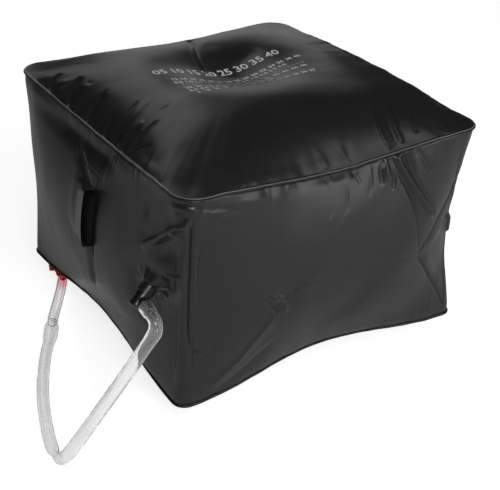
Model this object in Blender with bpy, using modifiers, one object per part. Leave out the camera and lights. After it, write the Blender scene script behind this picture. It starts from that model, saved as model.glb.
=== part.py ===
"""Camp shower bag: a welded film box with an outlet elbow, a clear hose, a shower head, a filler and two handles."""

import math

import bmesh
import bpy
from mathutils import Matrix, Vector

# The model is in metres, Z up. The origin is the middle of the flat patch that the bag rests on.
# The front wall faces -Y, and the left wall, with the outlet, faces -X.

# Bag body
half_width = 0.187
half_depth = 0.200
base_half_depth = 0.1925
corner_lift = 0.038
wall_rise = 0.248
dome_rise = 0.030
film = 0.0008
weld_gap = 0.0003
lip_width = 0.0035
top_corner_radius = 0.024
base_corner_radius = 0.012
top_draw_front = 0.0122
top_draw_right = 0.0020
top_draw_rear = 0.0100
top_draw_left = 0.0129
top_sag_front = 0.0146
top_sag_right = -0.0010
top_sag_rear = 0.0110
top_sag_left = 0.0150
base_draw_front = 0.0133
base_draw_side = 0.0047
base_rise_front = 0.0125
base_rise_side = 0.0159
front_bulge = 0.028
side_bulge = 0.028
pinch_front_right = 0.014
pinch_rear_right = 0.008
pinch_rear_left = 0.004
pinch_front_left = 0.008
dome_power = 4.2
base_curve_power = 1.5
pinch_power = 3
flat_patch_share = 0.5
side_steps = 12
corner_steps = 3
wall_rows = 8
panel_rings = 7

# Outlet on the left wall
outlet_y = -0.1430
outlet_z = 0.1718
outlet_turn = math.radians(12)
outlet_tilt = math.radians(8)
spout_bend = math.radians(30)
outlet_flat_radius = 0.042
outlet_blend_radius = 0.062
outlet_flange_radius = 0.0135
outlet_flange_thickness = 0.0014
outlet_bore_radius = 0.0045
outlet_tail_radius = 0.0070
outlet_tail_length = 0.004
spout_radius = 0.0080
spout_length = 0.0110
outlet_fit = 0.0003
film_hole_depth = 0.022

# Union nut, seal and elbow, along the spout's axis
nut_start = 0.0078
nut_radius = 0.0094
nut_lip = 0.0014
nut_ridge = 0.0006
nut_ridge_count = 3
elbow_radius = 0.0075
elbow_collar_radius = 0.0080
elbow_collar = 0.0013
outlet_seal = 0.0012
elbow_end = 0.0325
elbow_round = 0.0022
barb_place = 0.0220
barb_lean = math.radians(17.5)
barb_root_radius = 0.0062
barb_root_length = 0.0120
barb_radius = 0.0050
barb_tooth = 0.0007
barb_tooth_count = 2
barb_length = 0.0210
barb_bore_share = 0.6
elbow_round_steps = 4

# Hose and the thinner tube of the shower head
hose_radius = 0.0070
hose_flare_share = 1.28
hose_neck_share = 0.82
tube_radius = 0.0055
hose_route = [
    (-0.20952, -0.16928, 0.15425),
    (-0.2098, -0.1775, 0.1527),
    (-0.2107, -0.1846, 0.1492),
    (-0.2137, -0.1880, 0.1425),
    (-0.2200, -0.1881, 0.1332),
    (-0.2350, -0.1868, 0.1135),
    (-0.2600, -0.1835, 0.0805),
    (-0.2850, -0.1802, 0.0478),
    (-0.3010, -0.1776, 0.0268),
    (-0.3095, -0.1752, 0.0158),
    (-0.3145, -0.1702, 0.0095),
    (-0.3155, -0.1620, 0.0074),
    (-0.3145, -0.1505, 0.0072),
    (-0.3095, -0.1287, 0.0072),
    (-0.2993, -0.0945, 0.0072),
    (-0.2874, -0.0612, 0.0072),
    (-0.2725, -0.0276, 0.0072),
    (-0.2550, 0.0063, 0.0076),
    (-0.2390, 0.0320, 0.0086),
    (-0.2290, 0.0500, 0.0091),
    (-0.2232, 0.0607, 0.0091),
]
tube_route = [
    (-0.22305, 0.06096, 0.0091),
    (-0.2170, 0.0720, 0.0084),
    (-0.2050, 0.0925, 0.0064),
    (-0.1855, 0.1238, 0.0058),
    (-0.1753, 0.1413, 0.0063),
    (-0.17035, 0.14984, 0.0078),
]
points_per_span = 3
hose_flare_start_share = 6
hose_flare_full_share = 3.5
hose_flare_end_share = 1.2
tube_bevel_steps = 2

# Shower head, along its own axis from the tip of the neck
head_inset_x = 0.0168
head_inset_y = 0.0424
head_heading = math.radians(60)
head_rest_gap = 0.0002
neck_radius = 0.0042
neck_tooth = 0.0008
neck_tooth_count = 2
neck_length = 0.012
neck_bore_radius = 0.0028
valve_collar_radius = 0.0100
valve_collar = 0.003
valve_radius = 0.0092
valve_length = 0.022
valve_thread_radius = 0.0082
valve_thread_length = 0.008
plug_bore_radius = 0.0048
plug_fit = 0.0003
plug_groove_radius = 0.0032
plug_groove = 0.0018
plug_seal_thickness = 0.0012
plug_port_radius = 0.0024
plug_tail = 0.0030
clip_radius = 0.0062
clip_thickness = 0.0010
clip_groove_radius = 0.0036
clip_mouth_share = 1.2
lever_radius = 0.0080
lever_base = 0.0025
lever_height = 0.0080
lever_thickness = 0.0030
lever_length = 0.0150
rose_neck_radius = 0.0105
rose_radius = 0.0220
rose_wall = 0.0016
rose_neck_length = 0.0095
rose_cone_length = 0.030
rose_rim_length = 0.009
rose_plate_thickness = 0.0022
rose_plate_inset = 0.0012
rose_step = 0.0014
rose_hole_radius = 0.0009
rose_hole_rings = ((0.0, 1), (0.0060, 6), (0.0125, 12))
rose_seal_thickness = 0.0014
head_fit = 0.0003

# Filler on the rear wall
filler_z = 0.200
filler_flat_radius = 0.040
filler_blend_radius = 0.075
filler_flange_radius = 0.030
filler_flange_thickness = 0.0016
filler_neck_radius = 0.0185
filler_bore_radius = 0.0155
filler_neck_length = 0.0160
filler_tail_length = 0.0040
filler_thread = 0.0009
filler_thread_start = 0.0045
filler_thread_pitch = 0.0042
filler_thread_turns = 1.75
filler_thread_fade_share = 12
cap_fit = 0.0004
cap_wall = 0.0020
cap_top = 0.0042
cap_recess = 0.0020
cap_skirt = 0.0120
cap_rib = 0.0009
cap_rib_count = 24
cap_seal_thickness = 0.0015
cap_grip_height = 0.0060
cap_grip_thickness = 0.0040
cap_grip_length_share = 0.8
filler_fit = 0.0003

# Carry handles on the left and right walls
handle_z = 0.190
handle_gap_length = 0.068
handle_tab = 0.012
handle_width = 0.050
handle_standoff = 0.0110
handle_ramp = 0.0070
handle_columns = 4
patch_steps = 8
strap_ramp_steps = 5
strap = 0.0012
patch = 0.0008
patch_margin = 0.005
handle_fit = 0.0006

# Mesh fineness and working clearances
merge_distance = 0.00001
cut_overrun = 0.002
round_steps = 28
fine_steps = 40
hole_steps = 10
halving_steps = 40
sharp_angle = math.radians(35)


def clear_scene():
    for item in list(bpy.data.objects):
        bpy.data.objects.remove(item, do_unlink=True)


def new_collection(name):
    collection = bpy.data.collections.new(name)
    bpy.context.scene.collection.children.link(collection)
    return collection


clear_scene()
parts = new_collection("camp_shower_bag")
cutters = new_collection("cutters")


def new_material(name, colour, roughness, metallic=0.0, alpha=1.0):
    material = bpy.data.materials.new(name)
    material.use_nodes = True
    shader = material.node_tree.nodes["Principled BSDF"]
    shader.inputs["Base Color"].default_value = (*colour, 1.0)
    shader.inputs["Roughness"].default_value = roughness
    shader.inputs["Metallic"].default_value = metallic
    shader.inputs["Alpha"].default_value = alpha
    return material


def finish(item, material):
    """Gives the piece its material and smooth shading with sharp edges kept."""
    item.data.materials.clear()
    item.data.materials.append(material)
    if item.type == "MESH":
        item.data.shade_smooth()
        item.data.set_sharp_from_angle(angle=sharp_angle)
    return item


def as_cutter(item):
    """A cutter or a joined-in shape is kept out of the object itself."""
    for collection in list(item.users_collection):
        collection.objects.unlink(item)
    cutters.objects.link(item)
    item.hide_render = True
    item.display_type = "WIRE"
    return item


def mesh_object(name, mesh, parent=None):
    item = bpy.data.objects.new(name, mesh)
    parts.objects.link(item)
    item.parent = parent
    return item


def empty(name, place, parent=None, turn=None):
    """An axis to build on: an empty with its place and its turn as a matrix."""
    item = bpy.data.objects.new(name, None)
    parts.objects.link(item)
    item.parent = parent
    item.empty_display_size = lip_width
    item.matrix_local = Matrix.Translation(place) @ (turn or Matrix.Identity(4))
    return item


def turned(name, profile, parent, steps=round_steps, ring=False):
    """A turned shape about the parent's Z axis. The profile is (radius, height), down the outer side first."""
    mesh = bpy.data.meshes.new(name)
    points = [(radius, 0, height) for radius, height in profile]
    edges = [(i, i + 1) for i in range(len(points) - 1)]
    if ring:
        edges.append((len(points) - 1, 0))
    mesh.from_pydata(points, edges, [])
    item = mesh_object(name, mesh, parent)
    screw = item.modifiers.new("turn", "SCREW")
    screw.axis = "Z"
    screw.steps = steps
    screw.render_steps = steps
    screw.use_merge_vertices = True
    screw.merge_threshold = merge_distance
    screw.use_smooth_shade = True
    return item


def rod(name, radius, low, high, parent, steps=round_steps):
    """A plain cylinder along the parent's Z axis, from low to high."""
    mesh = bpy.data.meshes.new(name)
    body = bmesh.new()
    size = {"radius1": radius, "radius2": radius, "depth": high - low}
    bmesh.ops.create_cone(body, cap_ends=True, segments=steps, **size)
    bmesh.ops.translate(body, vec=(0, 0, (high + low) / 2), verts=body.verts)
    body.to_mesh(mesh)
    body.free()
    return mesh_object(name, mesh, parent)


def ring(name, outer, inner, low, high, parent, steps=round_steps):
    profile = [(outer, high), (outer, low), (inner, low), (inner, high)]
    return turned(name, profile, parent, steps, ring=True)


def block(name, size, place, parent):
    """A box of the given size with its middle at the given place in the parent's frame."""
    mesh = bpy.data.meshes.new(name)
    body = bmesh.new()
    bmesh.ops.create_cube(body, size=1)
    bmesh.ops.scale(body, vec=size, verts=body.verts)
    bmesh.ops.translate(body, vec=place, verts=body.verts)
    body.to_mesh(mesh)
    body.free()
    return mesh_object(name, mesh, parent)


def cut(item, tool):
    step = item.modifiers.new("cut " + tool.name, "BOOLEAN")
    step.operation = "DIFFERENCE"
    step.object = as_cutter(tool)
    return item


def join(item, tool):
    step = item.modifiers.new("join " + tool.name, "BOOLEAN")
    step.operation = "UNION"
    step.object = as_cutter(tool)
    return item


def smooth_step(value):
    value = min(1, max(0, value))
    return value * value * (3 - 2 * value)


# The bag's shape: a loop of stations round the plan, the same for the three films

def loop_stations():
    """Each station is (side, turn, place along the side): a side runs 0 to 3 from the front, anticlockwise."""
    stations = []
    for side in range(4):
        for i in range(side_steps):
            stations.append((side, 0.0, i / side_steps))
        for i in range(corner_steps):
            stations.append((side, i / corner_steps, 1.0))
    return stations


def seam_point(station, half_x, half_y, radius, draws, lifts):
    """A point of a weld seam in plan, with its lift over the seam's corners and its outward direction."""
    side, turn, along = station
    reach = (half_x, half_y)[side % 2]
    depth = (half_y, half_x)[side % 2]
    draw, lift = draws[side], lifts[side]
    swell = math.sin(math.pi * along) ** 2
    tangent = (2 * along - 1) * (reach - radius)
    angle = turn * math.pi / 2
    across = tangent + radius * math.sin(angle)
    outward = depth - radius + radius * math.cos(angle) - draw * swell
    heading = side * math.pi / 2
    plan = Matrix.Rotation(heading, 2) @ Vector((across, -outward))
    normal = Matrix.Rotation(heading + angle, 2) @ Vector((0, -1))
    return plan, lift * swell, normal


def top_seam(station):
    draws = (top_draw_front, top_draw_right, top_draw_rear, top_draw_left)
    sags = (-top_sag_front, -top_sag_right, -top_sag_rear, -top_sag_left)
    plan, lift, normal = seam_point(station, half_width, half_depth, top_corner_radius, draws, sags)
    return plan, corner_lift + wall_rise + lift, normal


def base_seam(station):
    draws = (base_draw_front, base_draw_side) * 2
    rises = (base_rise_front, base_rise_side) * 2
    plan, lift, normal = seam_point(station, half_width, base_half_depth, base_corner_radius, draws, rises)
    return plan, corner_lift + lift, normal


def wall_point(station, height_share):
    """A point of the inflated wall between the two seams, before it is flattened at the fittings."""
    side, turn, along = station
    low_plan, low_z, normal = base_seam(station)
    high_plan, high_z, _ = top_seam(station)
    plan = low_plan.lerp(high_plan, height_share)
    belly = math.sin(math.pi * along)
    pinches = (pinch_front_right, pinch_rear_right, pinch_rear_left, pinch_front_left)
    pinch = pinches[side] if along > 0.5 else pinches[side - 1]
    bulge = (front_bulge, side_bulge)[side % 2] * belly - pinch * (1 - belly) ** pinch_power
    plan = plan + normal * bulge * math.sin(math.pi * height_share)
    return Vector((plan.x, plan.y, low_z + (high_z - low_z) * height_share))


def wall_surface(side, offset, height):
    """The wall's middle surface at a distance along one side and a height, found by halving.

    The distance runs to the right for someone who faces that wall from outside."""
    run = (half_width, half_depth)[side % 2] - top_corner_radius
    along = (offset / run + 1) / 2
    low = 0.0
    high = 1.0
    for _ in range(halving_steps):
        middle = (low + high) / 2
        if wall_point((side, 0.0, along), middle).z < height:
            low = middle
        else:
            high = middle
    return wall_point((side, 0.0, along), low)


def wall_normal(side, offset, height):
    """The outward direction of the inflated wall at a place."""
    across = wall_surface(side, offset + film, height) - wall_surface(side, offset - film, height)
    upward = wall_surface(side, offset, height + film) - wall_surface(side, offset, height - film)
    return across.cross(upward).normalized()


class Seat:
    """A flat place in the wall film for a fitting: its outer face lies in the plane at the middle."""

    def __init__(self, middle, normal, flat_radius, blend_radius):
        self.normal = Vector(normal).normalized()
        self.middle = Vector(middle) + self.normal * (film / 2)
        self.flat_radius = flat_radius
        self.blend_radius = blend_radius

    def settle(self, point):
        offset = point - self.middle
        height = offset.dot(self.normal)
        if height < -self.blend_radius:
            return point
        reach = (offset - self.normal * height).length
        hold = smooth_step((self.blend_radius - reach) / (self.blend_radius - self.flat_radius))
        return point - self.normal * (height + film / 2) * hold


outlet_middle = wall_surface(3, -outlet_y, outlet_z)
outlet_normal = (
    -math.cos(outlet_turn) * math.cos(outlet_tilt),
    -math.sin(outlet_turn) * math.cos(outlet_tilt),
    -math.sin(outlet_tilt),
)
outlet_seat = Seat(outlet_middle, outlet_normal, outlet_flat_radius, outlet_blend_radius)
filler_middle = wall_surface(2, 0, filler_z)
filler_normal = wall_normal(2, 0, filler_z)
filler_seat = Seat(filler_middle, filler_normal, filler_flat_radius, filler_blend_radius)
seats = (filler_seat, outlet_seat)


def film_panel(name, rows, point_at, material):
    """A film sheet mapped from a grid: columns go round the bag, rows follow point_at, then it is thickened."""
    stations = loop_stations()
    columns = len(stations)
    body = bmesh.new()
    bmesh.ops.create_grid(body, x_segments=columns, y_segments=rows, size=1)
    for vertex in body.verts:
        column = round((vertex.co.x + 1) / 2 * columns) % columns
        row = round((vertex.co.y + 1) / 2 * rows)
        vertex.co = point_at(stations[column], row)
    bmesh.ops.remove_doubles(body, verts=body.verts, dist=merge_distance)
    bmesh.ops.recalc_face_normals(body, faces=body.faces)
    mesh = bpy.data.meshes.new(name)
    body.to_mesh(mesh)
    body.free()
    item = mesh_object(name, mesh)
    shell = item.modifiers.new("thickness", "SOLIDIFY")
    shell.thickness = film
    shell.offset = 0
    shell.use_even_offset = True
    return finish(item, material)


def lip_point(plan, height, normal, step):
    edge = plan + normal * lip_width
    return Vector((edge.x, edge.y, height + step))


def wall_row(station, row):
    """Rows of the wall: the base lip, the wall from seam to seam, and the top lip."""
    step = (film + weld_gap) / 2
    low_plan, low_z, normal = base_seam(station)
    high_plan, high_z, _ = top_seam(station)
    if row == 0:
        return lip_point(low_plan, low_z, normal, step)
    if row == wall_rows + 2:
        return lip_point(high_plan, high_z, normal, -step)
    share = (row - 1) / wall_rows
    point = wall_point(station, share)
    point.z += step * (1 - 2 * share)
    for seat in seats:
        point = seat.settle(point)
    return point


def top_row(station, row):
    """Rings of the top film: its lip, then from the seam in to the middle of the dome."""
    plan, height, normal = top_seam(station)
    step = (film + weld_gap) / 2
    if row == 0:
        return lip_point(plan, height, normal, step)
    share = 1 - (row - 1) / panel_rings
    crown = corner_lift + wall_rise + dome_rise
    inside = plan * share
    return Vector((inside.x, inside.y, crown + (height + step - crown) * share ** dome_power))


def base_row(station, row):
    """Rings of the bottom film: its lip, the part that rises to the seam, and the flat patch it rests on."""
    plan, height, normal = base_seam(station)
    step = (film + weld_gap) / 2
    if row == 0:
        return lip_point(plan, height, normal, -step)
    share = 1 - (row - 1) / panel_rings
    rise = max(0, (share - flat_patch_share) / (1 - flat_patch_share)) ** base_curve_power
    inside = plan * share
    return Vector((inside.x, inside.y, film / 2 + (height - step - film / 2) * rise))


film_black = new_material("film_black", (0.022, 0.023, 0.024), 0.42)
fitting_black = new_material("fitting_black", (0.012, 0.012, 0.013), 0.32)
nut_black = new_material("nut_black", (0.016, 0.016, 0.017), 0.38)
strap_black = new_material("strap_black", (0.020, 0.020, 0.021), 0.45)
patch_black = new_material("patch_black", (0.018, 0.018, 0.019), 0.45)
seal_black = new_material("seal_black", (0.030, 0.030, 0.030), 0.70)
hose_clear = new_material("hose_clear", (0.80, 0.81, 0.83), 0.12, alpha=0.6)
tube_grey = new_material("tube_grey", (0.62, 0.62, 0.63), 0.20, alpha=0.8)
head_red = new_material("head_red", (0.62, 0.02, 0.02), 0.30)
rose_black = new_material("rose_black", (0.015, 0.015, 0.016), 0.35)
clip_steel = new_material("clip_steel", (0.55, 0.55, 0.56), 0.30, metallic=1.0)


def build_films():
    wall = film_panel("wall_film", wall_rows + 2, wall_row, film_black)
    film_panel("top_film", panel_rings + 1, top_row, film_black)
    film_panel("bottom_film", panel_rings + 1, base_row, film_black)
    return wall


def axis_turn(normal):
    """A turn that points Z along the normal, with X level."""
    level = Vector((0, 0, 1)).cross(Vector(normal)).normalized()
    upright = Vector(normal).cross(level)
    return Matrix((level, upright, normal)).transposed().to_4x4()


def build_outlet(wall):
    """The welded port with its bent spout, the seal, the ridged union nut and the elbow with its barb."""
    port_axis = empty("outlet_axis", outlet_seat.middle, turn=axis_turn(outlet_seat.normal))
    spout_axis = empty("spout_axis", (0, 0, 0), port_axis, Matrix.Rotation(spout_bend, 4, "X"))
    face = weld_gap
    front = face + outlet_flange_thickness

    hole = rod("outlet_film_hole", outlet_tail_radius + outlet_fit, -film_hole_depth, cut_overrun, port_axis)
    cut(wall, hole)

    flange = [
        (0, front),
        (outlet_flange_radius, front),
        (outlet_flange_radius, face),
        (outlet_tail_radius, face),
        (outlet_tail_radius, -outlet_tail_length),
        (0, -outlet_tail_length),
    ]
    port = turned("outlet_port", flange, port_axis, fine_steps)
    spout = rod("port_spout", spout_radius, -spout_radius, spout_length, spout_axis)
    behind = (4 * spout_radius, 4 * spout_radius, 4 * spout_radius)
    behind_place = (0, 0, face + outlet_flange_thickness / 2 - behind[2] / 2)
    cut(spout, block("spout_trim", behind, behind_place, port_axis))
    join(port, spout)
    cut(port, rod("port_bore", outlet_bore_radius, -outlet_tail_length - cut_overrun, front, port_axis))
    cut(port, rod("spout_bore", outlet_bore_radius, 0, spout_length + cut_overrun, spout_axis))
    finish(port, fitting_black)

    seal_low = spout_length + outlet_fit
    seal_high = seal_low + outlet_seal
    seal = ring("outlet_gasket", elbow_collar_radius, outlet_bore_radius, seal_low, seal_high, spout_axis)
    finish(seal, seal_black)

    collar_low = seal_high + outlet_fit
    collar_high = collar_low + elbow_collar
    lip_low = collar_high + outlet_fit
    nut_end = lip_low + nut_lip
    bore = spout_radius + outlet_fit
    outline = [(nut_radius, nut_end)]
    pitch = (nut_end - nut_start) / nut_ridge_count
    for i in range(nut_ridge_count):
        high = nut_end - pitch * i
        outline.append((nut_radius, high - pitch / 4))
        outline.append((nut_radius + nut_ridge, high - pitch * 2 / 5))
        outline.append((nut_radius + nut_ridge, high - pitch * 3 / 5))
        outline.append((nut_radius, high - pitch * 3 / 4))
    outline += [
        (nut_radius, nut_start),
        (bore, nut_start),
        (bore, lip_low),
        (elbow_radius + outlet_fit, lip_low),
        (elbow_radius + outlet_fit, nut_end),
    ]
    finish(turned("outlet_nut", outline, spout_axis, fine_steps, ring=True), nut_black)

    body = [(0, elbow_end)]
    for i in range(elbow_round_steps + 1):
        angle = math.pi / 2 * i / elbow_round_steps
        reach = elbow_radius - elbow_round + elbow_round * math.sin(angle)
        body.append((reach, elbow_end - elbow_round + elbow_round * math.cos(angle)))
    body += [
        (elbow_radius, collar_high),
        (elbow_collar_radius, collar_high),
        (elbow_collar_radius, collar_low),
        (0, collar_low),
    ]
    elbow = turned("outlet_elbow", body, spout_axis, fine_steps)

    lean = Matrix.Rotation(math.pi / 2 - barb_lean, 4, "Y")
    barb_axis = empty("barb_axis", (0, 0, barb_place), spout_axis, lean)
    barb = [(0, barb_length), (barb_radius - barb_tooth / 2, barb_length)]
    tooth = (barb_length - barb_root_length) / (barb_tooth_count + 0.5)
    for i in range(barb_tooth_count):
        low = barb_length - tooth * (i + 1)
        barb.append((barb_radius + barb_tooth, low))
        barb.append((barb_radius, low))
    barb += [
        (barb_radius, barb_root_length),
        (barb_root_radius, barb_root_length),
        (barb_root_radius, 0),
        (0, 0),
    ]
    join(elbow, turned("elbow_barb", barb, barb_axis))
    blind = barb_place + outlet_bore_radius
    cut(elbow, rod("elbow_bore", outlet_bore_radius, collar_low - cut_overrun, blind, spout_axis))
    cut(elbow, rod("barb_bore", barb_radius * barb_bore_share, 0, barb_length + cut_overrun, barb_axis))
    finish(elbow, fitting_black)
    return barb_axis


def smooth_route(route):
    """Points of a smooth curve through the route's own points."""
    points = [Vector(place) for place in route]
    ends = [2 * points[0] - points[1]] + points + [2 * points[-1] - points[-2]]
    smooth = []
    for i in range(len(points) - 1):
        before, start, end, after = ends[i:i + 4]
        for k in range(points_per_span):
            t = k / points_per_span
            bend = (2 * before - 5 * start + 4 * end - after) * t * t
            swing = (3 * start - 3 * end + after - before) * t ** 3
            smooth.append((2 * start + (end - before) * t + bend + swing) / 2)
    smooth.append(points[-1])
    return smooth


def tube(name, route, radius, shares, material):
    """A tube along a smooth route. shares maps a distance from the far end to a share of the radius."""
    curve = bpy.data.curves.new(name, "CURVE")
    curve.dimensions = "3D"
    curve.bevel_depth = radius
    curve.bevel_resolution = tube_bevel_steps
    curve.use_fill_caps = True
    curve.twist_mode = "MINIMUM"
    line = smooth_route(route)
    spline = curve.splines.new("POLY")
    spline.points.add(len(line) - 1)
    left = 0
    for i in range(len(line) - 1, -1, -1):
        if i < len(line) - 1:
            left += (line[i + 1] - line[i]).length
        spline.points[i].co = (*line[i], 1)
        spline.points[i].radius = shares(left)
    item = bpy.data.objects.new(name, curve)
    parts.objects.link(item)
    curve.materials.append(material)
    return item


def hose_share(left):
    """The hose's end widens over the thinner tube and closes in again at its very end."""
    flare_start = hose_flare_start_share * hose_radius
    flare_full = hose_flare_full_share * hose_radius
    flare_end = hose_flare_end_share * hose_radius
    opened = 1 + (hose_flare_share - 1) * smooth_step((flare_start - left) / (flare_start - flare_full))
    closing = smooth_step((flare_end - left) / flare_end)
    return opened + (hose_neck_share - opened) * closing


def axis_point(axis, distance):
    bpy.context.view_layer.update()
    return axis.matrix_world @ Vector((0, 0, distance))


def carried_route(route, start_shift, end_shift):
    """The hose's points, with its two ends carried along by the pieces that they meet."""
    points = [Vector(place) for place in route]
    steps = [0]
    for i in range(len(points) - 1):
        steps.append(steps[i] + (points[i + 1] - points[i]).length)
    carried = []
    for point, step in zip(points, steps):
        share = step / steps[-1]
        shift = start_shift * (1 - share) + end_shift * share
        shift.z = start_shift.z * (point.z - hose_radius) / (points[0].z - hose_radius)
        carried.append(point + shift)
    return carried


def build_hose(barb_axis, head):
    """The hose runs from the elbow's barb to the head's tube, which goes with the head."""
    start_shift = axis_point(barb_axis, barb_length + outlet_fit) - Vector(hose_route[0])
    head_shift = axis_point(head, -head_fit) - Vector(tube_route[-1])
    route = carried_route(hose_route, start_shift, head_shift)
    tube("outlet_hose", route, hose_radius, hose_share, hose_clear)
    route = [Vector(place) + head_shift for place in tube_route]
    tube("head_tube", route, tube_radius, lambda left: 1, tube_grey)


def wall_sheet(name, width, places, lifts, thickness, side, material):
    """A sheet laid over a wall: places are heights from its middle, lifts are its distances off the film."""
    rows = len(places) - 1
    body = bmesh.new()
    bmesh.ops.create_grid(body, x_segments=handle_columns, y_segments=rows, size=1)
    for vertex in body.verts:
        row = round((vertex.co.y + 1) / 2 * rows)
        offset = vertex.co.x * width / 2
        height = handle_z + places[row]
        lift = film / 2 + lifts[row] + thickness / 2
        vertex.co = wall_surface(side, offset, height) + wall_normal(side, offset, height) * lift
    mesh = bpy.data.meshes.new(name)
    body.to_mesh(mesh)
    body.free()
    item = mesh_object(name, mesh)
    shell = item.modifiers.new("thickness", "SOLIDIFY")
    shell.thickness = thickness
    shell.offset = 0
    shell.use_even_offset = True
    return finish(item, material)


def build_handle(name, side):
    """A welded patch and a strap that stands off it, for one hand's fingers."""
    run = handle_gap_length + 2 * handle_tab
    reach = run / 2 + patch_margin
    heights = [reach * (2 * i / patch_steps - 1) for i in range(patch_steps + 1)]
    lifts = [handle_fit] * (patch_steps + 1)
    width = handle_width + 2 * patch_margin
    wall_sheet(name + "_handle_patch", width, heights, lifts, patch, side, patch_black)

    start = -handle_gap_length / 2
    heights = [-run / 2, start]
    heights += [start + handle_ramp * (i + 1) / strap_ramp_steps for i in range(strap_ramp_steps)]
    heights += [start / 3 - handle_ramp / 3]
    heights += [-height for height in reversed(heights)]
    base = handle_fit + patch + handle_fit
    lifts = []
    for height in heights:
        raised = smooth_step((handle_gap_length / 2 - abs(height)) / handle_ramp)
        lifts.append(base + handle_standoff * raised)
    wall_sheet(name + "_handle_strap", handle_width, heights, lifts, strap, side, strap_black)


def head_axis():
    """The head lies on its valve collar and its rose rim, so its axis climbs towards the rose."""
    collar_at = neck_length
    rim_at = neck_length + valve_collar + valve_length + head_fit + rose_neck_length + rose_cone_length
    climb = math.atan2(rose_radius - valve_collar_radius, rim_at - collar_at)
    height = head_rest_gap + valve_collar_radius * math.cos(climb) - collar_at * math.sin(climb)
    heading = Vector((math.cos(head_heading), math.sin(head_heading), 0))
    along = heading * math.cos(climb) + Vector((0, 0, math.sin(climb)))
    place = (head_inset_x - half_width, base_half_depth - head_inset_y, height)
    return empty("head_axis", place, turn=axis_turn(along))


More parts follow.
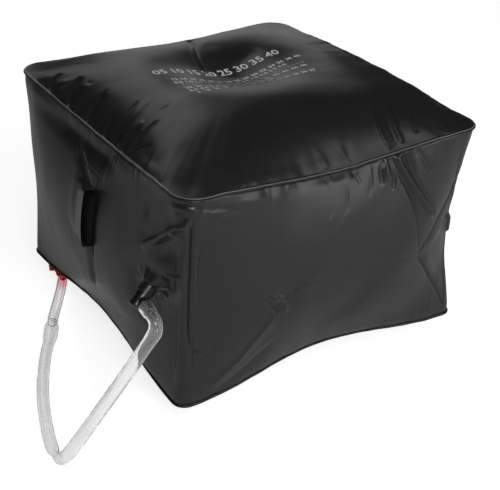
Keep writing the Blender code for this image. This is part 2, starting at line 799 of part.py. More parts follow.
def build_head():
    """The shower head: valve body with its plug, seal and clip, and the rose with its seal and plate."""
    axis = head_axis()
    body_low = neck_length + valve_collar
    body_high = body_low + valve_length
    thread_high = body_high + valve_thread_length
    outline = [(0, thread_high), (valve_thread_radius, thread_high), (valve_thread_radius, body_high)]
    outline += [
        (valve_radius, body_high),
        (valve_radius, body_low),
        (valve_collar_radius, body_low),
        (valve_collar_radius, neck_length),
        (neck_radius, neck_length),
    ]
    tooth = neck_length / (neck_tooth_count + 0.5)
    for i in range(neck_tooth_count):
        high = tooth * (neck_tooth_count - i)
        outline.append((neck_radius, high))
        outline.append((neck_radius + neck_tooth, high))
        outline.append((neck_radius, high - tooth))
    outline.append((neck_radius - neck_tooth / 2, 0))
    outline.append((0, 0))
    valve = turned("valve_body", outline, axis)
    cut(valve, rod("valve_way", neck_bore_radius, -cut_overrun, thread_high + cut_overrun, axis))
    plug_place = (body_low + body_high) / 2
    plug_axis = empty("plug_axis", (0, 0, plug_place), axis, Matrix.Rotation(math.pi / 2, 4, "Y"))
    reach = valve_radius + cut_overrun
    cut(valve, rod("plug_hole", plug_bore_radius, -reach, reach, plug_axis))
    finish(valve, head_red)

    shaft = plug_bore_radius - plug_fit
    groove_middle = valve_radius * 2 / 3
    groove_low = groove_middle - plug_groove / 2
    groove_high = groove_middle + plug_groove / 2
    lever_low = valve_radius + plug_fit
    clip_low = -valve_radius - plug_fit - clip_thickness - plug_fit
    clip_high = clip_low + clip_thickness + 2 * plug_fit
    tail = clip_low - plug_tail / 2
    stem = [
        (0, lever_low + lever_base),
        (lever_radius, lever_low + lever_base),
        (lever_radius, lever_low),
        (shaft, lever_low),
        (shaft, groove_high),
        (plug_groove_radius, groove_high),
        (plug_groove_radius, groove_low),
        (shaft, groove_low),
        (shaft, clip_high),
        (clip_groove_radius, clip_high),
        (clip_groove_radius, clip_low),
        (shaft, clip_low),
        (shaft, tail),
        (0, tail),
    ]
    plug = turned("valve_plug", stem, plug_axis)
    grip_low = lever_low + lever_base / 2
    grip = (lever_thickness, lever_length, lever_base / 2 + lever_height)
    join(plug, block("plug_lever", grip, (0, 0, grip_low + grip[2] / 2), plug_axis))
    port_turn = Matrix.Rotation(math.pi / 2, 4, "X")
    port_axis = empty("plug_port_axis", (0, 0, 0), plug_axis, port_turn)
    cut(plug, rod("plug_port", plug_port_radius, -plug_bore_radius, plug_bore_radius, port_axis))
    finish(plug, head_red)

    seal_low = groove_middle - plug_seal_thickness / 2
    seal_high = groove_middle + plug_seal_thickness / 2
    seal = ring("plug_seal", shaft, plug_groove_radius + plug_fit, seal_low, seal_high, plug_axis)
    finish(seal, seal_black)
    clip_inner = clip_groove_radius + plug_fit
    clip = ring("plug_clip", clip_radius, clip_inner, clip_low + plug_fit, clip_high - plug_fit, plug_axis)
    mouth = (clip_radius + cut_overrun, clip_inner * clip_mouth_share, clip_thickness + 2 * cut_overrun)
    mouth_place = (-(clip_radius + cut_overrun) / 2, 0, (clip_low + clip_high) / 2)
    cut(clip, block("clip_mouth", mouth, mouth_place, plug_axis))
    finish(clip, clip_steel)

    rose_low = body_high + head_fit
    neck_high = rose_low + rose_neck_length
    cone_high = neck_high + rose_cone_length
    rim_high = cone_high + rose_rim_length
    plate_high = rim_high - rose_plate_inset
    plate_low = plate_high - rose_plate_thickness
    ledge_high = plate_low - head_fit
    ledge_low = ledge_high - rose_seal_thickness - head_fit
    inside = rose_radius - rose_wall
    rose = [
        (rose_radius, rim_high),
        (rose_radius, cone_high),
        (rose_neck_radius, neck_high),
        (rose_neck_radius, rose_low),
        (valve_thread_radius + head_fit, rose_low),
        (valve_thread_radius + head_fit, neck_high),
        (inside - rose_step, cone_high),
        (inside - rose_step, ledge_low),
        (inside, ledge_low),
        (inside, rim_high),
    ]
    finish(turned("rose_body", rose, axis, fine_steps, ring=True), rose_black)
    seal_inner = inside - head_fit - rose_step * 2
    seal_base = ledge_low + head_fit
    rose_seal = ring("rose_seal", inside - head_fit, seal_inner, seal_base, ledge_high, axis, fine_steps)
    finish(rose_seal, seal_black)
    plate = rod("rose_plate", inside - head_fit, plate_low, plate_high, axis, fine_steps)
    holes = []
    for reach, count in rose_hole_rings:
        for i in range(count):
            angle = math.tau * i / count
            place = (reach * math.cos(angle), reach * math.sin(angle), 0)
            spot = empty("rose_hole_axis", place, axis)
            low = plate_low - cut_overrun / 2
            high = plate_high + cut_overrun / 2
            holes.append(rod("rose_hole", rose_hole_radius, low, high, spot, hole_steps))
    for hole in holes:
        cut(plate, hole)
    finish(plate, rose_black)
    return axis


def thread_ridge(name, radius, parent):
    """A helical ridge, half sunk in the neck, as a mesh that a neck can be joined with."""
    curve = bpy.data.curves.new(name, "CURVE")
    curve.dimensions = "3D"
    curve.bevel_depth = filler_thread
    curve.bevel_resolution = 1
    curve.use_fill_caps = True
    count = int(filler_thread_turns * round_steps)
    spline = curve.splines.new("POLY")
    spline.points.add(count)
    for i in range(count + 1):
        share = i / count
        angle = math.tau * filler_thread_turns * share
        fade = filler_thread * (1 - smooth_step(min(share, 1 - share) * filler_thread_fade_share))
        reach = radius - fade
        rise = filler_thread_start + filler_thread_pitch * filler_thread_turns * share
        spline.points[i].co = (reach * math.cos(angle), reach * math.sin(angle), rise, 1)
    holder = bpy.data.objects.new(name + "_curve", curve)
    parts.objects.link(holder)
    bpy.context.view_layer.update()
    mesh = bpy.data.meshes.new_from_object(holder.evaluated_get(bpy.context.evaluated_depsgraph_get()))
    bpy.data.objects.remove(holder, do_unlink=True)
    body = bmesh.new()
    body.from_mesh(mesh)
    bmesh.ops.remove_doubles(body, verts=body.verts, dist=merge_distance)
    bmesh.ops.recalc_face_normals(body, faces=body.faces)
    body.to_mesh(mesh)
    body.free()
    return mesh_object(name, mesh, parent)


def build_filler(wall):
    """The filler: a welded neck with a thread, and a cap with its seal that screws over it."""
    axis = empty("filler_axis", filler_seat.middle, turn=axis_turn(filler_seat.normal))
    face = weld_gap
    front = face + filler_flange_thickness
    neck_high = front + filler_neck_length
    hole_radius = filler_neck_radius + filler_fit
    cut(wall, rod("filler_film_hole", hole_radius, -film_hole_depth, cut_overrun, axis, fine_steps))
    outline = [
        (filler_neck_radius, neck_high),
        (filler_neck_radius, front),
        (filler_flange_radius, front),
        (filler_flange_radius, face),
        (filler_neck_radius, face),
        (filler_neck_radius, -filler_tail_length),
        (filler_bore_radius, -filler_tail_length),
        (filler_bore_radius, neck_high),
    ]
    neck = turned("filler_neck", outline, axis, fine_steps, ring=True)
    join(neck, thread_ridge("filler_thread", filler_neck_radius, axis))
    finish(neck, fitting_black)

    bore = filler_neck_radius + filler_thread + cap_fit
    outer = bore + cap_wall
    seal_low = neck_high + filler_fit
    seal_high = seal_low + cap_seal_thickness
    seal = ring("cap_seal", filler_neck_radius, filler_bore_radius, seal_low, seal_high, axis, fine_steps)
    finish(seal, seal_black)
    inside = seal_high + filler_fit
    top = inside + cap_top
    skirt_low = inside - cap_skirt
    cup = [
        (0, top),
        (outer, top),
        (outer, skirt_low),
        (bore, skirt_low),
        (bore, inside),
        (filler_bore_radius, inside),
        (filler_bore_radius, inside + cap_recess),
        (0, inside + cap_recess),
    ]
    cap = turned("filler_cap", cup, axis, fine_steps)
    for i in range(cap_rib_count):
        angle = Matrix.Rotation(math.tau * i / cap_rib_count, 4, "Z")
        spot = empty("cap_rib_axis", (0, 0, 0), axis, angle)
        size = (2 * cap_rib, 2 * cap_rib, top - skirt_low - 2 * cap_rib)
        join(cap, block("cap_rib", size, (outer, 0, (top + skirt_low) / 2), spot))
    grip = (2 * outer * cap_grip_length_share, cap_grip_thickness, cap_grip_height + cap_top / 2)
    grip_place = (0, 0, top + cap_grip_height / 2 - cap_top / 4)
    join(cap, block("cap_grip", grip, grip_place, axis))
    finish(cap, fitting_black)


wall_film = build_films()
outlet_barb = build_outlet(wall_film)
build_handle("left", 3)
build_handle("right", 1)
build_filler(wall_film)
head_neck = build_head()
build_hose(outlet_barb, head_neck)
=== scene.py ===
import math
import random

import bmesh
import bpy
import numpy as np
from mathutils import Matrix, Vector
from mathutils.bvhtree import BVHTree


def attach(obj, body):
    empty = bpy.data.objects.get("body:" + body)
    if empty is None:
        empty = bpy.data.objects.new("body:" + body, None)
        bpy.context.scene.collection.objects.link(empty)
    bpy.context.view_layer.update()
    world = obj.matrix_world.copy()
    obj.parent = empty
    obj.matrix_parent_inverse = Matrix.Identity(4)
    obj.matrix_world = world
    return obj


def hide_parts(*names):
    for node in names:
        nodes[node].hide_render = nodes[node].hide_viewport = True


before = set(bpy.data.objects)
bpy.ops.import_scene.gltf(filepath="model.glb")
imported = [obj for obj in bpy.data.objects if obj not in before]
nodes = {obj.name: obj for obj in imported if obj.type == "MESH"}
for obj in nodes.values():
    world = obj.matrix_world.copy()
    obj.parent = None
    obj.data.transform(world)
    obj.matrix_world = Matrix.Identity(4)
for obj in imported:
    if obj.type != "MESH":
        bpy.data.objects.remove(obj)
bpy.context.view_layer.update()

mm = 0.001


# small tools

def smooth(value):
    value = np.clip(value, 0.0, 1.0)
    return value * value * (3 - 2 * value)


def meshFrom(name, points, faces):
    mesh = bpy.data.meshes.new(name)
    mesh.from_pydata([tuple(p) for p in points], [], [tuple(f) for f in faces])
    mesh.validate()
    return mesh


def addPiece(name, mesh, material=None, smoothShade=True):
    piece = bpy.data.objects.new(name, mesh)
    bpy.context.scene.collection.objects.link(piece)
    if material:
        mesh.materials.clear()
        mesh.materials.append(material)
    if smoothShade:
        mesh.shade_smooth()
    return piece


def paint(mesh, name, values):
    # one value for each point, read by the materials
    layer = mesh.attributes.new(name, "FLOAT", "POINT")
    layer.data.foreach_set("value", np.asarray(values, dtype=np.float32))


def finalMesh(piece):
    # the mesh with its modifiers applied
    bpy.context.view_layer.update()
    return bpy.data.meshes.new_from_object(piece.evaluated_get(bpy.context.evaluated_depsgraph_get()))


def gridFaces(columns, rows, closed=True):
    # columns run round the piece and rows along it, point index = column * rows + row
    faces = []
    last = columns if closed else columns - 1
    for c in range(last):
        n = (c + 1) % columns
        for r in range(rows - 1):
            faces.append((c * rows + r, n * rows + r, n * rows + r + 1, c * rows + r + 1))
    return faces


# shader maths as Python expressions

class Wire:
    def __init__(self, graph, socket):
        self.graph = graph
        self.socket = socket

    def op(self, operation, other):
        return self.graph.add("ShaderNodeMath", [self, other], operation=operation)

    def __add__(self, other):
        return self.op("ADD", other)

    def __sub__(self, other):
        return self.op("SUBTRACT", other)

    def __mul__(self, other):
        return self.op("MULTIPLY", other)

    __radd__ = __add__
    __rmul__ = __mul__

    def clamp(self):
        return self.graph.add("ShaderNodeClamp", [self])

    def between(self, low, high):
        # 0 below low, 1 above high, smooth between
        values = [self, low, high, 0.0, 1.0]
        return self.graph.add("ShaderNodeMapRange", values, interpolation_type="SMOOTHSTEP")


class Graph:
    def __init__(self, tree):
        self.tree = tree

    def add(self, kind, values=(), output=0, **settings):
        # a node with its inputs and settings, given back as the wire of one output
        node = self.tree.nodes.new(kind)
        for key, value in settings.items():
            setattr(node, key, value)
        pairs = values.items() if isinstance(values, dict) else enumerate(values)
        for key, value in pairs:
            self.feed(node.inputs[key], value)
        return Wire(self, node.outputs[output])

    def feed(self, socket, value):
        if isinstance(value, Wire):
            self.tree.links.new(value.socket, socket)
        elif value is not None:
            socket.default_value = value

    def rays(self, kind):
        return self.add("ShaderNodeLightPath", output=f"Is {kind} Ray")


class Shade(Graph):
    def __init__(self, name):
        self.material = bpy.data.materials.new(name)
        self.material.use_nodes = True
        super().__init__(self.material.node_tree)
        self.surface = self.tree.nodes["Principled BSDF"]

    def painted(self, name):
        # a value that the mesh carries at its points
        return self.add("ShaderNodeAttribute", output="Fac", attribute_name=name)

    def noise(self, scale, detail=3.0, rough=0.5, distortion=0.0, stretch=None):
        place = self.add("ShaderNodeTexCoord", output="Object")
        if stretch:
            place = self.add("ShaderNodeMapping", {"Vector": place, "Scale": stretch})
        values = {"Vector": place, "Scale": scale, "Detail": detail, "Roughness": rough}
        return self.add("ShaderNodeTexNoise", {**values, "Distortion": distortion})

    def mix(self, factor, first, second):
        return self.add("ShaderNodeMix", {0: factor, 6: first, 7: second}, 2, data_type="RGBA")

    def bump(self, height, strength, distance, normal=None):
        values = {"Height": height, "Strength": strength, "Distance": distance, "Normal": normal}
        return self.add("ShaderNodeBump", values)

    def fill(self, **values):
        for key, value in values.items():
            self.feed(self.surface.inputs[key.replace("_", " ")], value)
        return self.material


def grey(level, tint=(1.0, 1.0, 1.0)):
    return (level * tint[0], level * tint[1], level * tint[2], 1.0)


# materials

filmLook = {
    "base": 0.0190,
    "haze": 0.0235,
    "baseTint": (0.97, 1.0, 1.02),
    "hazeScale": 9.0,    # a higher scale is finer
    "hazeEdges": (0.38, 0.68),
    "dust": 0.25,
    "dustGrey": 0.08,
    "dustScale": 420.0,
    "dustEdges": (0.70, 0.82),
    "roughness": 0.30,
    "roughSpread": 0.10,
    "streakScale": 55.0,
    "streakStretch": (1.0, 1.0, 0.35),
    "wrinkle": 0.22,
    "wrinkleScale": 34.0,
    "grain": 0.10,
    "grainScale": 900.0,
    "lip": 0.24,    # the welded edge is thicker and scuffed, and its paler colour is partly wear and partly a painted highlight along the seam
    "lipHighlightAndWear": (0.45, 0.8),
}


def filmMaterial(name):
    s = Shade(name)
    cloud = s.noise(filmLook["hazeScale"], 4.0, 0.6)
    dust = s.noise(filmLook["dustScale"], 2.0, 0.7)
    worn = cloud.between(*filmLook["hazeEdges"])
    colour = s.mix(worn, grey(filmLook["base"], filmLook["baseTint"]), grey(filmLook["haze"]))
    dusty = dust.between(*filmLook["dustEdges"]) * filmLook["dust"]
    colour = s.mix(dusty, colour, grey(filmLook["dustGrey"]))
    # the lips are mixed towards the pale colour: partly wear, partly a painted highlight along the seams
    least, uneven = filmLook["lipHighlightAndWear"]
    colour = s.mix(s.painted("lip") * (least + cloud * uneven), colour, grey(filmLook["lip"]))
    streak = s.noise(filmLook["streakScale"], 5.0, 0.62, 0.4, filmLook["streakStretch"])
    rough = filmLook["roughness"] + (streak - 0.5) * filmLook["roughSpread"]
    soft = s.noise(filmLook["wrinkleScale"], 3.0, 0.5, 0.3)
    grain = s.noise(filmLook["grainScale"], 2.0, 0.5)
    normal = s.bump(soft, filmLook["wrinkle"], 0.0004)
    normal = s.bump(streak, filmLook["wrinkle"] * 0.5, 0.0001, normal)
    normal = s.bump(grain, filmLook["grain"], 0.00002, normal)
    return s.fill(Base_Color=colour, Roughness=rough, Normal=normal, IOR=1.50)


mouldedLook = {
    "toneScale": 60.0,
    "fineScale": 700.0,
    "edges": (0.505, 0.56),
    "lighter": (1.9, 0.012),    # the worn tone: this many times the colour, and this much added
    "worn": 0.35,
    "roughSpread": 0.12,
    "bump": 0.12,
}


def mouldedMaterial(name, colour, roughness):
    s = Shade(name)
    tone = s.noise(mouldedLook["toneScale"], 3.0, 0.55)
    fine = s.noise(mouldedLook["fineScale"], 3.0, 0.6)
    edge = s.add("ShaderNodeNewGeometry", output="Pointiness").between(*mouldedLook["edges"])
    times, more = mouldedLook["lighter"]
    lighter = tuple(min(1.0, v * times + more) for v in colour)
    base = s.mix(tone * mouldedLook["worn"], (*colour, 1.0), (*lighter, 1.0))
    base = s.mix(edge * mouldedLook["worn"], base, (*lighter, 1.0))
    rough = roughness + (fine - 0.5) * mouldedLook["roughSpread"]
    normal = s.bump(fine, mouldedLook["bump"], 0.0002)
    return s.fill(Base_Color=base, Roughness=rough, Normal=normal, IOR=1.48)


def rubberMaterial(name):
    s = Shade(name)
    fine = s.noise(500.0, 4.0, 0.6)
    base = s.mix(fine, grey(0.018), grey(0.034))
    rough = 0.68 + (fine - 0.5) * 0.15
    return s.fill(Base_Color=base, Roughness=rough, Normal=s.bump(fine, 0.2, 0.0002))


def steelMaterial(name):
    s = Shade(name)
    brushed = s.noise(260.0, 3.0, 0.6, stretch=(1.0, 1.0, 14.0))
    base = s.mix(brushed, (0.50, 0.50, 0.51, 1.0), (0.64, 0.64, 0.65, 1.0))
    rough = 0.24 + brushed * 0.16
    return s.fill(Base_Color=base, Metallic=1.0, Roughness=rough, Normal=s.bump(brushed, 0.1, 0.0001))


blushTint = (1.0, 0.55, 0.62, 1.0)    # where the red neck shows through the tube


def clearMaterial(name, tint, roughness, milk, milkTint):
    # soft clear tube: mostly see-through, with milky streaks along it
    s = Shade(name)
    cloud = s.noise(45.0, 3.0, 0.5)
    streak = s.painted("streak")
    fine = s.noise(260.0, 3.0, 0.6)
    normal = s.bump(cloud, 0.05, 0.0003)
    colour = s.mix(s.painted("blush"), (*tint, 1.0), blushTint)
    s.fill(Base_Color=colour, Roughness=roughness + (fine - 0.5) * 0.01, Normal=normal)
    s.fill(Transmission_Weight=1.0, IOR=1.40)
    cover = s.add("ShaderNodeBsdfDiffuse", {"Color": (*milkTint, 1.0)})
    amount = (milk * streak * (1.2 + cloud * 0.6)).clamp()
    blend = s.add("ShaderNodeMixShader", [amount, Wire(s, s.surface.outputs[0]), cover])
    s.feed(s.tree.nodes["Material Output"].inputs["Surface"], blend)
    return s.material


def printMaterial(name):
    s = Shade(name)
    worn = s.noise(300.0, 4.0, 0.6)
    base = s.mix(worn.between(0.45, 0.85), grey(0.95), grey(0.70))
    return s.fill(Base_Color=base, Roughness=0.45 + (worn - 0.5) * 0.2)


filmSkin = filmMaterial("filmSkin")
fittingPlastic = mouldedMaterial("fittingPlastic", (0.010, 0.010, 0.011), 0.22)
nutPlastic = mouldedMaterial("nutPlastic", (0.014, 0.014, 0.015), 0.26)
capPlastic = mouldedMaterial("capPlastic", (0.016, 0.016, 0.017), 0.34)
sealRubber = rubberMaterial("sealRubber")
headPlastic = mouldedMaterial("headPlastic", (0.86, 0.022, 0.018), 0.26)
rosePlastic = mouldedMaterial("rosePlastic", (0.015, 0.015, 0.016), 0.34)
clipSteel = steelMaterial("clipSteel")
hoseVinyl = clearMaterial("hoseVinyl", (0.975, 0.98, 0.985), 0.008, 0.38, (0.84, 0.845, 0.855))
tubeVinyl = clearMaterial("tubeVinyl", (0.96, 0.955, 0.96), 0.12, 0.30, (0.84, 0.83, 0.84))
printWhite = printMaterial("printWhite")
print("materials made")


# camera, floor and light

cameraPlace = {
    "eye": (-0.62384, -0.97119, 0.75492),
    "right": (0.84297, -0.53697, 0.03254),
    "up": (0.24529, 0.4375, 0.86512),
    "back": (-0.47878, -0.72129, 0.50051),
    "lens": 77.43,
}


def buildCamera():
    data = bpy.data.cameras.new("camera")
    data.lens = cameraPlace["lens"]
    data.sensor_width = 36.0
    camera = bpy.data.objects.new("camera", data)
    bpy.context.scene.collection.objects.link(camera)
    axes = Matrix((cameraPlace["right"], cameraPlace["up"], cameraPlace["back"]))
    camera.matrix_world = Matrix.Translation(cameraPlace["eye"]) @ axes.transposed().to_4x4()
    bpy.context.scene.camera = camera


studio = {
    "sky": 0.02,
    "floorColour": 0.86,
    "floorGlow": 0.80,
    "floorGloss": 0.10,
    "aim": (0.0, 0.0, 0.17),
    "lampSize": 1.0,
    "lampDistance": 2.2,
    # name, compass angle, height angle, power
    "lamps": [
        ("keySoftbox", 250, 35, 17.0),
        ("rightLowSoftbox", 300, 12, 8.5),
        ("rightHighSoftbox", 320, 50, 5.0),
        ("rearLowSoftbox", 60, 12, 1.5),
        ("rearHighSoftbox", 82, 35, 2.4),
        ("leftRearSoftbox", 150, 12, 0.6),
    ],
}


def buildStudio():
    world = bpy.data.worlds.new("studioSky")
    bpy.context.scene.world = world
    world.use_nodes = True
    sky = Graph(world.node_tree)
    dim = sky.tree.nodes["Background"]
    dim.inputs["Color"].default_value = (1, 1, 1, 1)
    dim.inputs["Strength"].default_value = studio["sky"]
    # the camera sees white, also through clear pieces, while the sky's own light is dim
    white = sky.add("ShaderNodeBackground", {"Color": (1, 1, 1, 1), "Strength": 1.0})
    seen = sky.rays("Camera").op("MAXIMUM", sky.rays("Transmission"))
    blend = sky.add("ShaderNodeMixShader", [seen, Wire(sky, dim.outputs[0]), white])
    sky.feed(sky.tree.nodes["World Output"].inputs["Surface"], blend)

    bpy.ops.mesh.primitive_plane_add(size=12)
    floor = bpy.context.object
    floor.name = "studioFloor"
    paper = Shade("floorPaper")
    paper.fill(Base_Color=grey(studio["floorColour"]), Roughness=0.9, Specular_IOR_Level=0.0)
    seen = paper.rays("Camera").op("MAXIMUM", paper.rays("Transmission"))
    glow = seen * studio["floorGlow"] + paper.rays("Glossy") * studio["floorGloss"]
    paper.fill(Emission_Color=(1, 1, 1, 1), Emission_Strength=glow)
    floor.data.materials.append(paper.material)

    aim = Vector(studio["aim"])
    for name, compass, height, power in studio["lamps"]:
        light = bpy.data.lights.new(name, "AREA")
        light.size = studio["lampSize"]
        light.energy = power
        lamp = bpy.data.objects.new(name, light)
        bpy.context.scene.collection.objects.link(lamp)
        around, up = math.radians(compass), math.radians(height)
        level = math.cos(up)
        away = Vector((math.cos(around) * level, math.sin(around) * level, math.sin(up)))
        lamp.location = aim + away * studio["lampDistance"]
        lamp.rotation_euler = (-away).to_track_quat("-Z", "Y").to_euler()
    bpy.context.scene.view_settings.view_transform = "Standard"


buildCamera()
buildStudio()
print("camera and light made")


# cords: the clear hose and the grey tube of the shower head

hose = {
    "route": [
        (-0.20919, -0.15966, 0.15607), (-0.20952, -0.16928, 0.15425), (-0.2098, -0.1775, 0.1527),
        (-0.2107, -0.1846, 0.1492), (-0.2137, -0.1880, 0.1425), (-0.2200, -0.1881, 0.1332),
        (-0.2350, -0.1868, 0.1135), (-0.2600, -0.1835, 0.0805), (-0.2850, -0.1802, 0.0478),
        (-0.3010, -0.1776, 0.0268), (-0.3095, -0.1752, 0.0158), (-0.3145, -0.1702, 0.0095),
        (-0.3155, -0.1620, 0.0074), (-0.3145, -0.1505, 0.0072), (-0.3095, -0.1287, 0.0072),
        (-0.2993, -0.0945, 0.0072), (-0.2874, -0.0612, 0.0072), (-0.2725, -0.0276, 0.0072),
        (-0.2550, 0.0063, 0.0076), (-0.2390, 0.0320, 0.0086), (-0.2290, 0.0500, 0.0091),
        (-0.2232, 0.0607, 0.0091),
    ],
    "radius": 0.0070,
    "wall": 0.0012,
    "pushedOn": 1.14,    # swelling over the barb
    "barbEnd": 0.014,
    "barbBlend": 0.004,
    "clearTo": 0.03,    # clear up to here, then milkier
    # place along the hose in metres, how wide, how flat, reach of the effect
    "kinks": [(0.036, 1.18, 0.60, 0.008), (0.214, 1.16, 0.56, 0.008)],
    # the far end widens, then closes on the tube: its width, and where each part starts before the end
    "flareShare": 1.26,
    "flareStart": 0.044,
    "flareFull": 0.024,
    "flareClose": 0.009,
    "neckShare": 0.93,
}
headTube = {
    "route": [
        (-0.22305, 0.06096, 0.0091), (-0.2170, 0.0720, 0.0084), (-0.2050, 0.0925, 0.0064),
        (-0.1855, 0.1238, 0.0058), (-0.1753, 0.1413, 0.0063), (-0.17035, 0.14984, 0.0078),
    ],
    "radius": 0.0064,
    "wall": 0.0014,
    "blush": 0.021,    # the length at the head that looks pink
}


# the milky streaks of both: the far stretch of the hose, over the pale floor, is nearly clear
streaks = {
    "strength": 2.4,    # higher is fainter
    "least": 0.2,
    "nearShare": 0.25,    # what is left of them at the clear end, and how soon they grow from there
    "growth": 0.10,
    "farFrom": 0.10,
    "farOver": 0.08,
    "farFade": 0.85,
    "farCover": 0.28,
}


def smoothRoute(route, perSpan=12):
    # a smooth curve through the route's points, evenly fine
    points = [np.array(p) for p in route]
    ends = [2 * points[0] - points[1]] + points + [2 * points[-1] - points[-2]]
    line = []
    for i in range(len(points) - 1):
        a, b, c, d = ends[i:i + 4]
        for k in range(perSpan):
            t = k / perSpan
            bend = (2 * a - 5 * b + 4 * c - d) * t * t
            line.append((2 * b + (c - a) * t + bend + (3 * b - 3 * c + d - a) * t ** 3) / 2)
    line.append(points[-1])
    return np.array(line)


def evenly(line, step):
    lengths = np.r_[0, np.cumsum(np.linalg.norm(np.diff(line, axis=0), axis=1))]
    count = int(lengths[-1] / step) + 1
    wanted = np.linspace(0, lengths[-1], count)
    even = np.stack([np.interp(wanted, lengths, line[:, i]) for i in range(3)], axis=1)
    return even, wanted


def tubeMesh(name, line, along, radius, wall, sides=28, squeeze=None, clearTo=0.0, blush=0.0):
    # the rings' first axis starts level and is carried along the line without a twist
    tangents = np.gradient(line, axis=0)
    tangents /= np.linalg.norm(tangents, axis=1)[:, None]
    side = np.cross(tangents[0], (0.0, 0.0, 1.0))
    side /= np.linalg.norm(side)
    sidesAt = []
    for t in tangents:
        side = side - t * np.dot(side, t)
        side /= np.linalg.norm(side)
        sidesAt.append(side)
    sidesAt = np.array(sidesAt)
    ups = np.cross(tangents, sidesAt)
    angles = np.linspace(0, 2 * math.pi, sides, endpoint=False)
    rings = []
    for shell in (0.0, wall):
        for i in range(len(line)):
            r = radius(along[i]) - shell
            wide, flat = squeeze(along[i]) if squeeze else (1.0, 1.0)
            level = np.outer(np.cos(angles) * (r * wide), sidesAt[i])
            rings.append(line[i] + level + np.outer(np.sin(angles) * (r * flat), ups[i]))
    count = len(line)
    inner = count * sides
    last = inner - sides
    points = np.concatenate(rings)
    faces = []
    for i in range(count - 1):
        for k in range(sides):
            a, b = i * sides + k, i * sides + (k + 1) % sides
            quad = (a, b, b + sides, a + sides)
            faces.append(quad)
            faces.append(tuple(inner + q for q in quad[::-1]))
    for k in range(sides):
        n = (k + 1) % sides
        faces.append((n, k, inner + k, inner + n))
        faces.append((last + k, last + n, inner + last + n, inner + last + k))
    mesh = meshFrom(name, points, faces)
    body = bmesh.new()
    body.from_mesh(mesh)
    bmesh.ops.recalc_face_normals(body, faces=body.faces)
    body.to_mesh(mesh)
    body.free()
    # milky streaks wander along the tube
    drift = np.sin(along * 23.0)[:, None] * 0.5
    bands = np.sin(angles * 2 + 0.6 + drift) + np.sin(angles * 5 + 2.1 - drift)
    bands = bands + 0.7 * np.sin(angles * 3 + 4.0)
    milky = np.ones(len(along))
    far = np.zeros((len(along), 1))
    if clearTo:
        grown = smooth((along - clearTo) / streaks["growth"])
        milky = streaks["nearShare"] + (1 - streaks["nearShare"]) * grown
        far = smooth((along - streaks["farFrom"]) / streaks["farOver"])[:, None]
    cover = np.clip(bands / streaks["strength"], 0, 1) + streaks["least"]
    cover = cover * (1 - streaks["farFade"] * far) + streaks["farCover"] * far
    paint(mesh, "streak", np.tile((cover * milky[:, None]).reshape(-1), 2))
    if blush:
        pink = smooth((along - along[-1] + blush) / (blush * 0.7))
        paint(mesh, "blush", np.tile(np.repeat(pink, sides), 2))
    return mesh


hoseLine, hoseAlong = evenly(smoothRoute(hose["route"]), 0.0018)
tubeLine, tubeAlong = evenly(smoothRoute(headTube["route"]), 0.002)


def hoseRadius(place):
    left = hoseAlong[-1] - place
    flare = smooth((hose["flareStart"] - left) / (hose["flareStart"] - hose["flareFull"]))
    opened = 1 + (hose["flareShare"] - 1) * flare
    closing = smooth((hose["flareClose"] - left) / hose["flareClose"])
    opened += (hose["pushedOn"] - 1) * smooth((hose["barbEnd"] - place) / hose["barbBlend"])
    return hose["radius"] * (opened + (hose["neckShare"] - opened) * closing)


def hoseSqueeze(place):
    wide, flat = 1.0, 1.0
    for spot, broad, thin, reach in hose["kinks"]:
        hold = math.exp(-((place - spot) / reach) ** 2)
        wide += (broad - 1) * hold
        flat += (thin - 1) * hold
    return wide, flat


def buildCord(name, cord, line, along, radius, finish, node, slotName, **more):
    mesh = tubeMesh(name, line, along, radius, cord["wall"], **more)
    piece = addPiece(name, mesh, finish)
    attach(piece, "bag")
    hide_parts(node)
    print(name, "made:", round(float(along[-1]), 3), "m")


buildCord("outletHose", hose, hoseLine, hoseAlong, hoseRadius, hoseVinyl, "outlet_hose", "hose_clear",
          squeeze=hoseSqueeze, clearTo=hose["clearTo"])
buildCord("headTube", headTube, tubeLine, tubeAlong, lambda place: headTube["radius"], tubeVinyl, "head_tube",
          "tube_grey", sides=24, blush=headTube["blush"])


# the bag's shape, as numbers in metres

